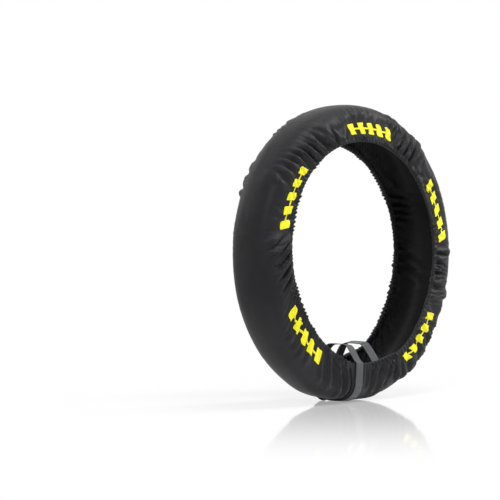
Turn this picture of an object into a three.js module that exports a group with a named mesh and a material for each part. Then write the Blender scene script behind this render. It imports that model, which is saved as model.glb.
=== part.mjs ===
// Motorcycle tire cover: one gathered cloth strip worn round a rear tyre, with elastic in both hems,
// bound ends that meet at the bottom, a closing strap round the tyre and a short strap over the rim.
// The origin is the wheel's centre, +Y is the wheel's axle and +Z is up. The printed side faces -Y.
// Sizes are in millimetres and angles in degrees, counted from +X towards +Z.
import * as THREE from 'three';

// Tyre that the cover fits
const CROWN_RADIUS = 345;
const HALF_WIDTH = 63;
const WIDEST_RADIUS = 298;
const SHOULDER_FULLNESS = 2.6;

// Hems
const HEM_RADIUS = 256;
const HEM_TUCK = 1;
const CASING_HEIGHT = 14;
const CLOTH_THICKNESS = 1.2;
const CLEARANCE = 0.3;

// Elastic tape in each hem
const ELASTIC_WIDTH = 8;
const ELASTIC_THICKNESS = 1.2;
const ELASTIC_END_INSET = 3;
const ELASTIC_STEPS = 62;

// Gathers
const COLUMNS = 94;
const COLUMN_CROWDING = 0.2;
const PUCKER_DEPTH = 1.5;
const PLEAT_DEPTH = 5;
const CROWN_RIPPLE = 1.1;
const HEM_WANDER = 8;
const HEM_LOBES = [
  { angle: 140, share: 1, spread: 24 },
  { angle: 222, share: -0.75, spread: 24 },
  { angle: 302, share: 1, spread: 14 },
];

// Meeting ends of the strip, as distances from the closing strap's middle plane
const RIGHT_END_OFFSET = 11;
const END_JOINT_GAP = 3.9;
const HEM_NOTCH = 15;
const FLAT_BESIDE_END = 10.5;

// Binding tape on both ends
const BINDING_THICKNESS = 1;
const BINDING_WIDTH = 9;

// Straps
const STRAP_WIDTH = 25;
const STRAP_THICKNESS = 1.5;
const CLOSURE_STRAP_ANGLE = -96;
const RIM_STRAP_ANGLE = -81;
const FLAT_BESIDE_STRAP = 1.5;
const CALM_ANGLE_BESIDE_STRAPS = 6;
const CALM_FADE_ANGLE = 14;
const RIM_LIP_DEPTH = 34;
const RIM_LIP_HALF_WIDTH = 34;
const RIM_BED_DEPTH = 7;
const RIM_BED_HALF_WIDTH = 20;
const RIM_STRAP_SEWN_LENGTH = 11;

// Hook-and-loop patches
const PATCH_THICKNESS = 1.2;
const PATCH_SIDE_MARGIN = 1;
const CLOSURE_LAP_START = 0.38;
const CLOSURE_LAP_END = 0.88;
const RIM_LAP_LENGTH = 30;
const RIM_PATCH_END_MARGIN = 3;

// Printed marks: slanted bars joined by a thin line, as heat-pressed film
const PRINT_COUNT = 5;
const PRINT_FIRST_ANGLE = -46;
const PRINT_STEP_ANGLE = 66.6;
const PRINT_MARGIN_ANGLE = 6;
const PRINT_LENGTH = 152;
const PRINT_HEIGHT = 27;
const PRINT_MIDDLE_HEIGHT = 32;
const PRINT_FILM = 0.4;
const PRINT_BARS = 5;
const PRINT_BAR_SHARE = 0.62;
const PRINT_LINE_SHARE = 0.16;
const PRINT_SLANT_ANGLE = 20;

// Rows of the section: steps from the crown to the widest point, then heights above the hem
const CROWN_STEPS = 5;
const FOLD_HEIGHT = 3;
const MIDDLE_HEIGHT = 27;

const RIGHT_ANGLE = 90;
const FULL_TURN = 360;
const CROWN_HEIGHT = CROWN_RADIUS - WIDEST_RADIUS;
const SIDE_HEIGHT = WIDEST_RADIUS - HEM_RADIUS;
const HEM_HALF_WIDTH = HALF_WIDTH - HEM_TUCK;
const RIM_LIP_RADIUS = HEM_RADIUS - RIM_LIP_DEPTH;
const RIM_BED_RADIUS = RIM_LIP_RADIUS - RIM_BED_DEPTH;
const PRINT_MIDDLE_RADIUS = HEM_RADIUS + PRINT_MIDDLE_HEIGHT;
const CHANNEL = ELASTIC_THICKNESS + 2 * CLEARANCE;
const CASING_THICKNESS = CHANNEL + 2 * CLOTH_THICKNESS;
const STRAP_SEAT = BINDING_THICKNESS + 2 * CLEARANCE;
const FRONT = -1;
const BACK = 1;

const radians = THREE.MathUtils.degToRad;
const degrees = THREE.MathUtils.radToDeg;
const smoothstep = THREE.MathUtils.smoothstep;
const lerp = THREE.MathUtils.lerp;

/** The half section at a share: 0 at the crown, 1 at the widest point, 2 at the hem. */
function section(share) {
  if (share <= 1) {
    const angle = radians(RIGHT_ANGLE * share);
    const power = 2 / SHOULDER_FULLNESS;
    const across = Math.sin(angle) ** power;
    const up = Math.max(Math.cos(angle), 0) ** power;
    const normal = new THREE.Vector2(
      across ** (SHOULDER_FULLNESS - 1) / HALF_WIDTH,
      up ** (SHOULDER_FULLNESS - 1) / CROWN_HEIGHT,
    ).normalize();
    return { y: HALF_WIDTH * across, r: WIDEST_RADIUS + CROWN_HEIGHT * up, normal };
  }
  const drop = share - 1;
  const slope = 2 * HEM_TUCK * drop / SIDE_HEIGHT;
  const normal = new THREE.Vector2(1, -slope).normalize();
  return { y: HALF_WIDTH - HEM_TUCK * drop * drop, r: WIDEST_RADIUS - SIDE_HEIGHT * drop, normal };
}

/** The share at a height above the hem, counted along the wheel's radius. */
function shareAtHeight(height) {
  if (height <= SIDE_HEIGHT) {
    return 2 - height / SIDE_HEIGHT;
  }
  const up = (height - SIDE_HEIGHT) / CROWN_HEIGHT;
  return degrees(Math.acos(up ** (SHOULDER_FULLNESS / 2))) / RIGHT_ANGLE;
}

/** How far an angle is from another, the short way round. */
function angleBetween(first, second) {
  const half = FULL_TURN / 2;
  return Math.abs(THREE.MathUtils.euclideanModulo(first - second + half, FULL_TURN) - half);
}

/** 0 beside the straps, where the cloth lies flat under them, and 1 elsewhere. */
function calm(angle) {
  const middle = (CLOSURE_STRAP_ANGLE + RIM_STRAP_ANGLE) / 2;
  const halfZone = (RIM_STRAP_ANGLE - CLOSURE_STRAP_ANGLE) / 2 + CALM_ANGLE_BESIDE_STRAPS;
  return smoothstep(angleBetween(angle, middle), halfZone, halfZone + CALM_FADE_ANGLE);
}

/** The slow ripple of the crown and the sides, which makes the outline uneven. */
function ripple(angle, share) {
  const turn = radians(angle);
  const wave = Math.sin(3 * turn + 0.6) + 0.8 * Math.sin(7 * turn + 2.1) + 0.7 * Math.sin(13 * turn + 0.9);
  return CROWN_RIPPLE * wave * calm(angle) * (1 - share / 2);
}

/** How far the hem runs outside its circle, because the elastic doesn't pull evenly. */
function hemWander(angle, share) {
  let rise = 0;
  for (const lobe of HEM_LOBES) {
    const steps = angleBetween(angle, lobe.angle) / lobe.spread;
    rise += HEM_WANDER * lobe.share * Math.exp(-steps * steps / 2);
  }
  return rise * calm(angle) * Math.max(share - 1, 0);
}

/** A point of the cloth at an angle, on one side, lifted outwards from its smooth outer face. */
function clothPoint(angle, share, side, lift) {
  const place = section(share);
  const out = lift + ripple(angle, share);
  const r = place.r + hemWander(angle, share) + place.normal.y * out;
  const y = side * (place.y + place.normal.x * out);
  return new THREE.Vector3(r * Math.cos(radians(angle)), y, r * Math.sin(radians(angle)));
}

/** The angle that lies a distance along the cloth from the closing strap's middle plane. */
function angleAtOffset(offset, share) {
  return CLOSURE_STRAP_ANGLE + degrees(offset / section(share).r);
}

/** The angles of the strip's two ends, which part towards the hems in a notch. */
function rightEndAngle(share) {
  return angleAtOffset(-RIGHT_END_OFFSET, share);
}

function leftEndAngle(share) {
  const notch = HEM_NOTCH * Math.max(share - 1, 0);
  return FULL_TURN + angleAtOffset(-RIGHT_END_OFFSET - END_JOINT_GAP - notch, share);
}

/** The angle of a column of the cloth. The first and last are the strip's ends. */
function columnAngle(column, share) {
  const first = angleAtOffset(STRAP_WIDTH / 2 + FLAT_BESIDE_STRAP, share);
  const last = leftEndAngle(share) - degrees(FLAT_BESIDE_END / section(share).r);
  if (column === 0) {
    return rightEndAngle(share);
  }
  if (column === COLUMNS) {
    return leftEndAngle(share);
  }
  const even = (column - 1) / (COLUMNS - 2);
  const crowded = even - COLUMN_CROWDING * Math.sin(2 * Math.PI * even) / (2 * Math.PI);
  const uneven = 0.22 * Math.sin(2.4 * column) * Math.sin(Math.PI * even) / COLUMNS;
  return lerp(first, last, crowded + uneven);
}

/** A column's height in the gathers: up and down in turn, and uneven from pleat to pleat. */
function columnHeight(column) {
  if (column < 2 || column > COLUMNS - 2) {
    return 0;
  }
  const size = 0.68 + 0.32 * Math.sin(1.3 * column + Math.sin(0.37 * column));
  return column % 2 === 0 ? size : -size;
}

/** The middle angles of the printed marks. */
function printAngle(mark) {
  return PRINT_FIRST_ANGLE + mark * PRINT_STEP_ANGLE;
}

/** 0 where film is pressed on the front and holds the cloth flat, otherwise 1. */
function unprinted(angle, side) {
  if (side === BACK) {
    return 1;
  }
  for (let mark = 0; mark < PRINT_COUNT; mark++) {
    const halfZone = degrees(PRINT_LENGTH / 2 / PRINT_MIDDLE_RADIUS) + PRINT_MARGIN_ANGLE;
    if (angleBetween(angle, printAngle(mark)) < halfZone) {
      return 0;
    }
  }
  return 1;
}

/** The gathers' lift of a column: small puckers at the hem, deep pleats on the side, none at the crown. */
function gatherLift(column, share, side) {
  const height = columnHeight(column);
  const pucker = PUCKER_DEPTH * (1 + height) * smoothstep(share, shareAtHeight(MIDDLE_HEIGHT), 2);
  const rising = smoothstep(share, 0.15, 1);
  const falling = 1 - smoothstep(share, shareAtHeight(MIDDLE_HEIGHT), shareAtHeight(CASING_HEIGHT));
  const flat = column < 2 || column > COLUMNS - 2;
  const pleat = PLEAT_DEPTH * height * rising * falling;
  const above = share < shareAtHeight(FOLD_HEIGHT + 1) ? unprinted(columnAngle(column, share), side) : 1;
  return flat ? 0 : above * (pucker + pleat);
}

/** A closed solid from equal loops of points, with its two end loops capped. Rows from turnedRow on run back
    under the first ones, so their faces are halved the other way and the two walls stay parallel. */
function solidFromLoops(loops, capOutline, turnedRow = Infinity) {
  const size = loops[0].length;
  const vertices = loops.flat().flatMap((point) => point.toArray());
  const triangles = [];
  for (let i = 0; i + 1 < loops.length; i++) {
    for (let j = 0; j < size; j++) {
      const a = i * size + j;
      const b = i * size + (j + 1) % size;
      if (j < turnedRow) {
        triangles.push(a, b, b + size, a, b + size, a + size);
      } else {
        triangles.push(a, b, a + size, b, b + size, a + size);
      }
    }
  }
  const last = (loops.length - 1) * size;
  const clockwise = THREE.ShapeUtils.isClockWise(capOutline);
  for (const face of THREE.ShapeUtils.triangulateShape(capOutline, [])) {
    const [a, b, c] = clockwise ? face.reverse() : face;
    triangles.push(a, c, b, last + a, last + b, last + c);
  }
  return outwards(vertices, triangles);
}

/** A geometry whose faces point out, turned over if they pointed in. */
function outwards(vertices, triangles) {
  const corner = (index) => new THREE.Vector3().fromArray(vertices, 3 * index);
  let volume = 0;
  for (let i = 0; i < triangles.length; i += 3) {
    const [a, b, c] = triangles.slice(i, i + 3).map(corner);
    volume += a.dot(b.cross(c));
  }
  const geometry = new THREE.BufferGeometry();
  geometry.setAttribute('position', new THREE.Float32BufferAttribute(vertices, 3));
  geometry.setIndex(volume < 0 ? triangles.reverse() : triangles);
  geometry.computeVertexNormals();
  return geometry;
}

/** The shares of the rows from the widest point's neighbour at the crown down to the casing's top. */
function sideShares() {
  const shares = [];
  for (let step = 1; step <= CROWN_STEPS; step++) {
    shares.push(step / CROWN_STEPS);
  }
  shares.push(shareAtHeight(MIDDLE_HEIGHT));
  shares.push(shareAtHeight(CASING_HEIGHT));
  return shares;
}

/** The fold and the flap of one hem, from the outside round to the inside, as heights and depths. */
function hemFold() {
  const rounding = CLOTH_THICKNESS / 2;
  const flap = CASING_THICKNESS - CLOTH_THICKNESS;
  return [
    { height: FOLD_HEIGHT, depth: 0, pucker: 1 },
    { height: 0, depth: rounding, pucker: 0.6 },
    { height: 0, depth: CASING_THICKNESS - rounding, pucker: 0 },
    { height: FOLD_HEIGHT, depth: CASING_THICKNESS, pucker: 0 },
    { height: CASING_HEIGHT - 1, depth: CASING_THICKNESS, pucker: 0 },
    { height: CASING_HEIGHT - 1, depth: flap, pucker: 0 },
    { height: CLOTH_THICKNESS, depth: flap, pucker: 0 },
    { height: CLOTH_THICKNESS, depth: CLOTH_THICKNESS, pucker: 0.6 },
  ];
}

/** The loop of rows round the cloth's section: front to back outside, then back to front inside. */
function sleeveRows() {
  const shares = sideShares();
  const outer = shares.map((share) => ({ share, depth: 0, pucker: 1 }));
  const inner = shares.map((share) => ({ share, depth: CLOTH_THICKNESS, pucker: 1 }));
  const fold = hemFold().map((row) => ({ ...row, share: shareAtHeight(row.height) }));
  const crown = { share: 0, pucker: 1, side: BACK };
  const on = (rows, side) => rows.map((row) => ({ ...row, side }));
  return [
    ...on(outer, FRONT).reverse(),
    { ...crown, depth: 0 },
    ...on(outer, BACK),
    ...on(fold, BACK),
    ...on(inner, BACK).reverse(),
    { ...crown, depth: CLOTH_THICKNESS },
    ...on(inner, FRONT),
    ...on(fold, FRONT).reverse(),
  ];
}

function sleeve() {
  const rows = sleeveRows();
  const loops = [];
  for (let column = 0; column <= COLUMNS; column++) {
    loops.push(rows.map((row) => {
      const lift = row.pucker * gatherLift(column, row.share, row.side) - row.depth;
      return clothPoint(columnAngle(column, row.share), row.share, row.side, lift);
    }));
  }
  const outline = rows.map((row) => {
    const place = section(row.share);
    const y = row.side * (place.y - place.normal.x * row.depth);
    return new THREE.Vector2(y, place.r - place.normal.y * row.depth);
  });
  return solidFromLoops(loops, outline, rows.length / 2);
}

/** The flat elastic that runs in one hem's channel from end to end. */
function elastic(side) {
  const low = CLOTH_THICKNESS + 3 * CLEARANCE;
  const near = CLOTH_THICKNESS + CLEARANCE;
  const corners = [[low, near], [low + ELASTIC_WIDTH, near]];
  corners.push([low + ELASTIC_WIDTH, near + ELASTIC_THICKNESS], [low, near + ELASTIC_THICKNESS]);
  const inset = degrees(ELASTIC_END_INSET / HEM_RADIUS);
  const loops = [];
  for (let step = 0; step <= ELASTIC_STEPS; step++) {
    loops.push(corners.map(([height, depth]) => {
      const share = shareAtHeight(height);
      const start = rightEndAngle(share) + inset;
      const angle = lerp(start, leftEndAngle(share) - inset, step / ELASTIC_STEPS);
      return clothPoint(angle, share, side, -depth);
    }));
  }
  return solidFromLoops(loops, corners.map(([height, depth]) => new THREE.Vector2(height, depth)));
}

/** A folded tape over one end of the strip, from one casing over the crown to the other. */
function endBinding(endAngle, inwards) {
  const inner = CLOTH_THICKNESS + CLEARANCE;
  const outer = CLEARANCE;
  const reach = BINDING_WIDTH;
  const edge = -CLEARANCE;
  const shape = [
    [reach, outer + BINDING_THICKNESS], [edge - BINDING_THICKNESS, outer + BINDING_THICKNESS],
    [edge - BINDING_THICKNESS, -inner - BINDING_THICKNESS], [reach, -inner - BINDING_THICKNESS],
    [reach, -inner], [edge, -inner], [edge, outer], [reach, outer],
  ];
  const shares = sideShares();
  shares[shares.length - 1] = shareAtHeight(CASING_HEIGHT + BINDING_THICKNESS);
  const rows = [
    ...shares.map((share) => ({ share, side: FRONT })).reverse(),
    { share: 0, side: BACK },
    ...shares.map((share) => ({ share, side: BACK })),
  ];
  const loops = rows.map(({ share, side }) => shape.map(([along, lift]) => {
    const angle = endAngle(share) + inwards * degrees(along / section(share).r);
    return clothPoint(angle, share, side, lift);
  }));
  return solidFromLoops(loops, shape.map(([along, lift]) => new THREE.Vector2(along, lift)));
}

/** A point of a strap's path beside the cloth, as a Vector2 of y and radius. */
function besideCloth(share, side, lift) {
  const { y, r, normal } = section(share);
  return new THREE.Vector2(side * (y + normal.x * lift), r + normal.y * lift);
}

/** A flat band of even thickness along a path, laid across the plane at an angle. */
function band(path, thickness, width, angle) {
  const left = [];
  const right = [];
  path.forEach((point, i) => {
    const before = path[Math.max(i - 1, 0)];
    const after = path[Math.min(i + 1, path.length - 1)];
    const arriving = point.clone().sub(before).normalize();
    const leaving = after.clone().sub(point).normalize();
    const heading = arriving.clone().add(leaving).normalize();
    const bend = Math.max(heading.dot(i === 0 ? leaving : arriving), 0.5);
    const offset = new THREE.Vector2(-heading.y, heading.x).multiplyScalar(thickness / 2 / bend);
    left.push(point.clone().add(offset));
    right.push(point.clone().sub(offset));
  });
  const outline = new THREE.Shape([...left, ...right.reverse()]);
  const geometry = new THREE.ExtrudeGeometry(outline, { depth: width, bevelEnabled: false, steps: 1 });
  geometry.translate(0, 0, -width / 2);
  const acrossWheel = new THREE.Vector3(0, 1, 0);
  const outFromAxle = new THREE.Vector3(Math.cos(radians(angle)), 0, Math.sin(radians(angle)));
  const alongTyre = new THREE.Vector3().crossVectors(acrossWheel, outFromAxle);
  geometry.applyMatrix4(new THREE.Matrix4().makeBasis(acrossWheel, outFromAxle, alongTyre));
  return geometry;
}

/** The path over the rim between its two lips, from front to back. */
function rimPath() {
  const bend = (RIM_LIP_HALF_WIDTH + RIM_BED_HALF_WIDTH) / 2;
  const bendRadius = RIM_BED_RADIUS + (RIM_LIP_RADIUS - RIM_BED_RADIUS) * 0.3;
  const half = [
    new THREE.Vector2(RIM_BED_HALF_WIDTH, RIM_BED_RADIUS),
    new THREE.Vector2(bend, bendRadius),
    new THREE.Vector2(RIM_LIP_HALF_WIDTH, RIM_LIP_RADIUS),
  ];
  const front = half.map((point) => new THREE.Vector2(-point.x, point.y)).reverse();
  return [...front, ...half];
}

/** The path round a hem's fold, from the side of the cover towards the rim. */
function hemTurn(side, lift) {
  const clear = CLEARANCE + STRAP_THICKNESS / 2;
  return [
    new THREE.Vector2(side * (HEM_HALF_WIDTH + lift), HEM_RADIUS + clear / 2),
    new THREE.Vector2(side * (HEM_HALF_WIDTH + lift / 2), HEM_RADIUS - 2 * clear),
    new THREE.Vector2(side * (HEM_HALF_WIDTH - CASING_THICKNESS), HEM_RADIUS - 3 * clear),
  ];
}

const strapLift = STRAP_SEAT + STRAP_THICKNESS / 2;
const lapStep = STRAP_THICKNESS + 2 * PATCH_THICKNESS + 3 * CLEARANCE;

/** The closing strap goes from its lapped end over the crown, round both hems and over the rim. */
function closureStrap() {
  const shares = [...sideShares(), CLOSURE_LAP_START, CLOSURE_LAP_END].sort((a, b) => a - b);
  const upper = shares.filter((share) => share <= 1);
  const path = [
    ...upper.map((share) => besideCloth(share, BACK, strapLift)).reverse(),
    besideCloth(0, BACK, strapLift),
    ...shares.map((share) => besideCloth(share, FRONT, strapLift)),
    ...hemTurn(FRONT, strapLift),
    ...rimPath(),
    ...hemTurn(BACK, strapLift).reverse(),
    besideCloth(shareAtHeight(CASING_HEIGHT), BACK, strapLift),
    besideCloth(shareAtHeight(MIDDLE_HEIGHT), BACK, strapLift + lapStep * 0.8),
    besideCloth(1.1, BACK, strapLift + lapStep),
  ];
  for (const share of upper.filter((value) => value >= CLOSURE_LAP_START - 0.1).reverse()) {
    path.push(besideCloth(share, BACK, strapLift + lapStep));
  }
  path.push(besideCloth(CLOSURE_LAP_START - 0.1, BACK, strapLift + lapStep));
  return band(path, STRAP_THICKNESS, STRAP_WIDTH, CLOSURE_STRAP_ANGLE);
}

/** A hook-and-loop patch between the closing strap's lapped ends. */
function closurePatch(lift) {
  const shares = [CLOSURE_LAP_START, ...sideShares(), CLOSURE_LAP_END];
  const within = shares.filter((share) => share >= CLOSURE_LAP_START && share <= CLOSURE_LAP_END);
  const path = within.sort((a, b) => a - b).map((share) => besideCloth(share, BACK, lift));
  return band(path, PATCH_THICKNESS, STRAP_WIDTH - 2 * PATCH_SIDE_MARGIN, CLOSURE_STRAP_ANGLE);
}

/** The short strap's path where it is sewn inside a casing and turns towards the rim. */
function sewnEnd(side) {
  const lift = -(CASING_THICKNESS + CLEARANCE + STRAP_THICKNESS / 2);
  return [
    besideCloth(shareAtHeight(RIM_STRAP_SEWN_LENGTH), side, lift),
    besideCloth(shareAtHeight(CLOTH_THICKNESS), side, lift),
  ];
}

/** The straight run from the back lip of the rim towards the back hem, where the short strap laps. */
function lapPoint(along, lift) {
  const start = new THREE.Vector2(RIM_LIP_HALF_WIDTH, RIM_LIP_RADIUS);
  const heading = sewnEnd(BACK)[1].sub(start).normalize();
  const out = new THREE.Vector2(heading.y, -heading.x);
  return start.addScaledVector(heading, along).addScaledVector(out, lift);
}

function rimStrap() {
  const overRim = rimPath().slice(0, -1);
  const path = [...sewnEnd(FRONT), ...overRim];
  path.push(lapPoint(RIM_PATCH_END_MARGIN, lapStep), lapPoint(RIM_LAP_LENGTH, lapStep));
  return band(path, STRAP_THICKNESS, STRAP_WIDTH, RIM_STRAP_ANGLE);
}

function rimStrapTail() {
  return band([...sewnEnd(BACK), lapPoint(0, 0)], STRAP_THICKNESS, STRAP_WIDTH, RIM_STRAP_ANGLE);
}

function rimPatch(lift) {
  const path = [lapPoint(RIM_PATCH_END_MARGIN, lift), lapPoint(RIM_LAP_LENGTH, lift)];
  return band(path, PATCH_THICKNESS, STRAP_WIDTH - 2 * PATCH_SIDE_MARGIN, RIM_STRAP_ANGLE);
}

/** One printed mark: slanted bars joined by a thin line, in film that follows the cloth. */
function printMark(middleAngle) {
  const pitch = PRINT_LENGTH / (PRINT_BARS - 1 + PRINT_BAR_SHARE);
  const columns = [];
  for (let bar = 0; bar < PRINT_BARS; bar++) {
    const start = bar * pitch - PRINT_LENGTH / 2;
    columns.push(start, start + pitch * PRINT_BAR_SHARE);
  }
  const line = PRINT_HEIGHT * PRINT_LINE_SHARE / 2;
  const rows = [-PRINT_HEIGHT / 2, -line, line, PRINT_HEIGHT / 2];
  const layers = [CLEARANCE, CLEARANCE + PRINT_FILM];
  const filled = (i, j) => i >= 0 && i < columns.length - 1 && j >= 0 && j < 3 && (j === 1 || i % 2 === 0);
  const vertices = [];
  for (const lift of layers) {
    for (const up of rows) {
      for (const along of columns) {
        const share = shareAtHeight(PRINT_MIDDLE_HEIGHT + up);
        const shifted = along + up * Math.tan(radians(PRINT_SLANT_ANGLE));
        const angle = middleAngle + degrees(shifted / PRINT_MIDDLE_RADIUS);
        vertices.push(...clothPoint(angle, share, FRONT, lift).toArray());
      }
    }
  }
  const index = (i, j, layer) => (layer * rows.length + j) * columns.length + i;
  const triangles = [];
  const quad = (a, b, c, d) => triangles.push(a, b, c, a, c, d);
  for (let i = 0; i < columns.length - 1; i++) {
    for (let j = 0; j < 3; j++) {
      if (!filled(i, j)) {
        continue;
      }
      quad(index(i, j, 1), index(i + 1, j, 1), index(i + 1, j + 1, 1), index(i, j + 1, 1));
      quad(index(i, j, 0), index(i, j + 1, 0), index(i + 1, j + 1, 0), index(i + 1, j, 0));
      if (!filled(i, j - 1)) {
        quad(index(i, j, 0), index(i + 1, j, 0), index(i + 1, j, 1), index(i, j, 1));
      }
      if (!filled(i, j + 1)) {
        quad(index(i + 1, j + 1, 0), index(i, j + 1, 0), index(i, j + 1, 1), index(i + 1, j + 1, 1));
      }
      if (!filled(i - 1, j)) {
        quad(index(i, j + 1, 0), index(i, j, 0), index(i, j, 1), index(i, j + 1, 1));
      }
      if (!filled(i + 1, j)) {
        quad(index(i + 1, j, 0), index(i + 1, j + 1, 0), index(i + 1, j + 1, 1), index(i + 1, j, 1));
      }
    }
  }
  return outwards(vertices, triangles);
}

const blackCloth = new THREE.MeshStandardMaterial({ color: 0x1d1d1f, roughness: 0.62 });
const bindingTape = new THREE.MeshStandardMaterial({ color: 0x121214, roughness: 0.7 });
const webbing = new THREE.MeshStandardMaterial({ color: 0x4a4c50, roughness: 0.6 });
const elasticTape = new THREE.MeshStandardMaterial({ color: 0x2a2a2c, roughness: 0.85 });
const hookAndLoop = new THREE.MeshStandardMaterial({ color: 0x17171a, roughness: 0.95 });
const yellowFilm = new THREE.MeshStandardMaterial({ color: 0xf5ee1e, roughness: 0.45 });

const cover = new THREE.Group();

function add(name, geometry, material) {
  const mesh = new THREE.Mesh(geometry, material);
  mesh.name = name;
  cover.add(mesh);
}

const loopPatchLift = STRAP_THICKNESS / 2 + CLEARANCE + PATCH_THICKNESS / 2;
const hookPatchLift = loopPatchLift + PATCH_THICKNESS + CLEARANCE;

add('sleeve', sleeve(), blackCloth);
add('front_elastic', elastic(FRONT), elasticTape);
add('back_elastic', elastic(BACK), elasticTape);
add('right_end_binding', endBinding(rightEndAngle, 1), bindingTape);
add('left_end_binding', endBinding(leftEndAngle, -1), bindingTape);
add('closure_strap', closureStrap(), webbing);
add('closure_loop_patch', closurePatch(strapLift + loopPatchLift), hookAndLoop);
add('closure_hook_patch', closurePatch(strapLift + hookPatchLift), hookAndLoop);
add('rim_strap', rimStrap(), webbing);
add('rim_strap_tail', rimStrapTail(), webbing);
add('rim_loop_patch', rimPatch(loopPatchLift), hookAndLoop);
add('rim_hook_patch', rimPatch(hookPatchLift), hookAndLoop);
for (let mark = 0; mark < PRINT_COUNT; mark++) {
  add(`print_mark_${mark + 1}`, printMark(printAngle(mark)), yellowFilm);
}

export default cover;
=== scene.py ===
"""Looks of the motorcycle tire cover: gathered black cloth, straps, bindings, film and its studio.

Every length is in metres and every angle in radians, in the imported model's frame: the origin is the
wheel's centre, +Y is the axle, +Z is up, and the printed side faces -Y.
"""

import logging
import math
from dataclasses import dataclass, field
from enum import Enum
from typing import Optional, Sequence, Union

import bmesh
import bpy
import numpy as np
from mathutils import Matrix, Vector


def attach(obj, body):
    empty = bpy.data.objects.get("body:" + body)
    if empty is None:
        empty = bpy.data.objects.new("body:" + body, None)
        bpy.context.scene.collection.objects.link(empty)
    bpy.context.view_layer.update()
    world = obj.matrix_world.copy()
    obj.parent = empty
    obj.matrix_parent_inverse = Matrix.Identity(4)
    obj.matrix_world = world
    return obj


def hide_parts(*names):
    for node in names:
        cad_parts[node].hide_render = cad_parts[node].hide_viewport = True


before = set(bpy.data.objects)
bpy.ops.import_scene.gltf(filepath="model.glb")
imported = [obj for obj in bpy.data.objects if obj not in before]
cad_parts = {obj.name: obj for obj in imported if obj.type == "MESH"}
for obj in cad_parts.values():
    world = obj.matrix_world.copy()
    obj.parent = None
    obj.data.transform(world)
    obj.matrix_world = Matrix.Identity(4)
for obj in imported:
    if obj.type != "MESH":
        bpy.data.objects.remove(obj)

Array = np.ndarray
log = logging.getLogger("tire_cover")
MM = 0.001


class Side(Enum):
    """The two flanks of the cover, as the sign of Y."""

    FRONT = -1
    BACK = 1


def smoothstep(value: Array, low: float, high: float) -> Array:
    """A smooth rise from 0 at low to 1 at high.

    Args:
        value: Numbers to map.
        low: Where the rise starts.
        high: Where the rise ends.

    Returns:
        Numbers from 0 to 1.
    """
    t = np.clip((np.asarray(value, float) - low) / (high - low), 0, 1)
    return t * t * (3 - 2 * t)


def soft_min(value: Array, cap: Array, softness: float) -> Array:
    """The smaller of two heights, rounded where they meet.

    Args:
        value: Heights.
        cap: Highest heights allowed.
        softness: Size of the rounding, in the heights' unit.

    Returns:
        Heights that stay at or under the cap.
    """
    blend = np.clip(0.5 + 0.5 * (cap - value) / softness, 0, 1)
    return cap + (value - cap) * blend - softness * blend * (1 - blend)


def angle_between(first: Array, second: float) -> Array:
    """How far angles are from another, the short way round.

    Args:
        first: Angles.
        second: The other angle.

    Returns:
        Signed differences from -pi to pi.
    """
    return (first - second + math.pi) % (2 * math.pi) - math.pi


class SmoothNoise:
    """Repeatable noise on a plane, smooth between its lattice points, from about -1 to 1."""

    def __init__(self, seed: int, size: int = 256) -> None:
        """Fills the lattice.

        Args:
            seed: Seed of the generator.
            size: Lattice points along each side, after which the noise repeats.
        """
        self.size = size
        self.lattice = np.random.default_rng(seed).uniform(-1, 1, (size, size))

    def __call__(self, x: Array, y: Array = 0.0) -> Array:
        """The noise at points of the plane.

        Args:
            x: First coordinates, in lattice steps.
            y: Second coordinates, in lattice steps.

        Returns:
            The noise at each point.
        """
        x, y = np.broadcast_arrays(np.asarray(x, float), np.asarray(y, float))
        column, row = np.floor(x).astype(int), np.floor(y).astype(int)
        fx, fy = x - column, y - row
        fx, fy = fx * fx * (3 - 2 * fx), fy * fy * (3 - 2 * fy)
        pick = lambda i, j: self.lattice[(row + j) % self.size, (column + i) % self.size]
        low = pick(0, 0) * (1 - fx) + pick(1, 0) * fx
        high = pick(0, 1) * (1 - fx) + pick(1, 1) * fx
        return (low * (1 - fy) + high * fy) * 1.5


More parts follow.
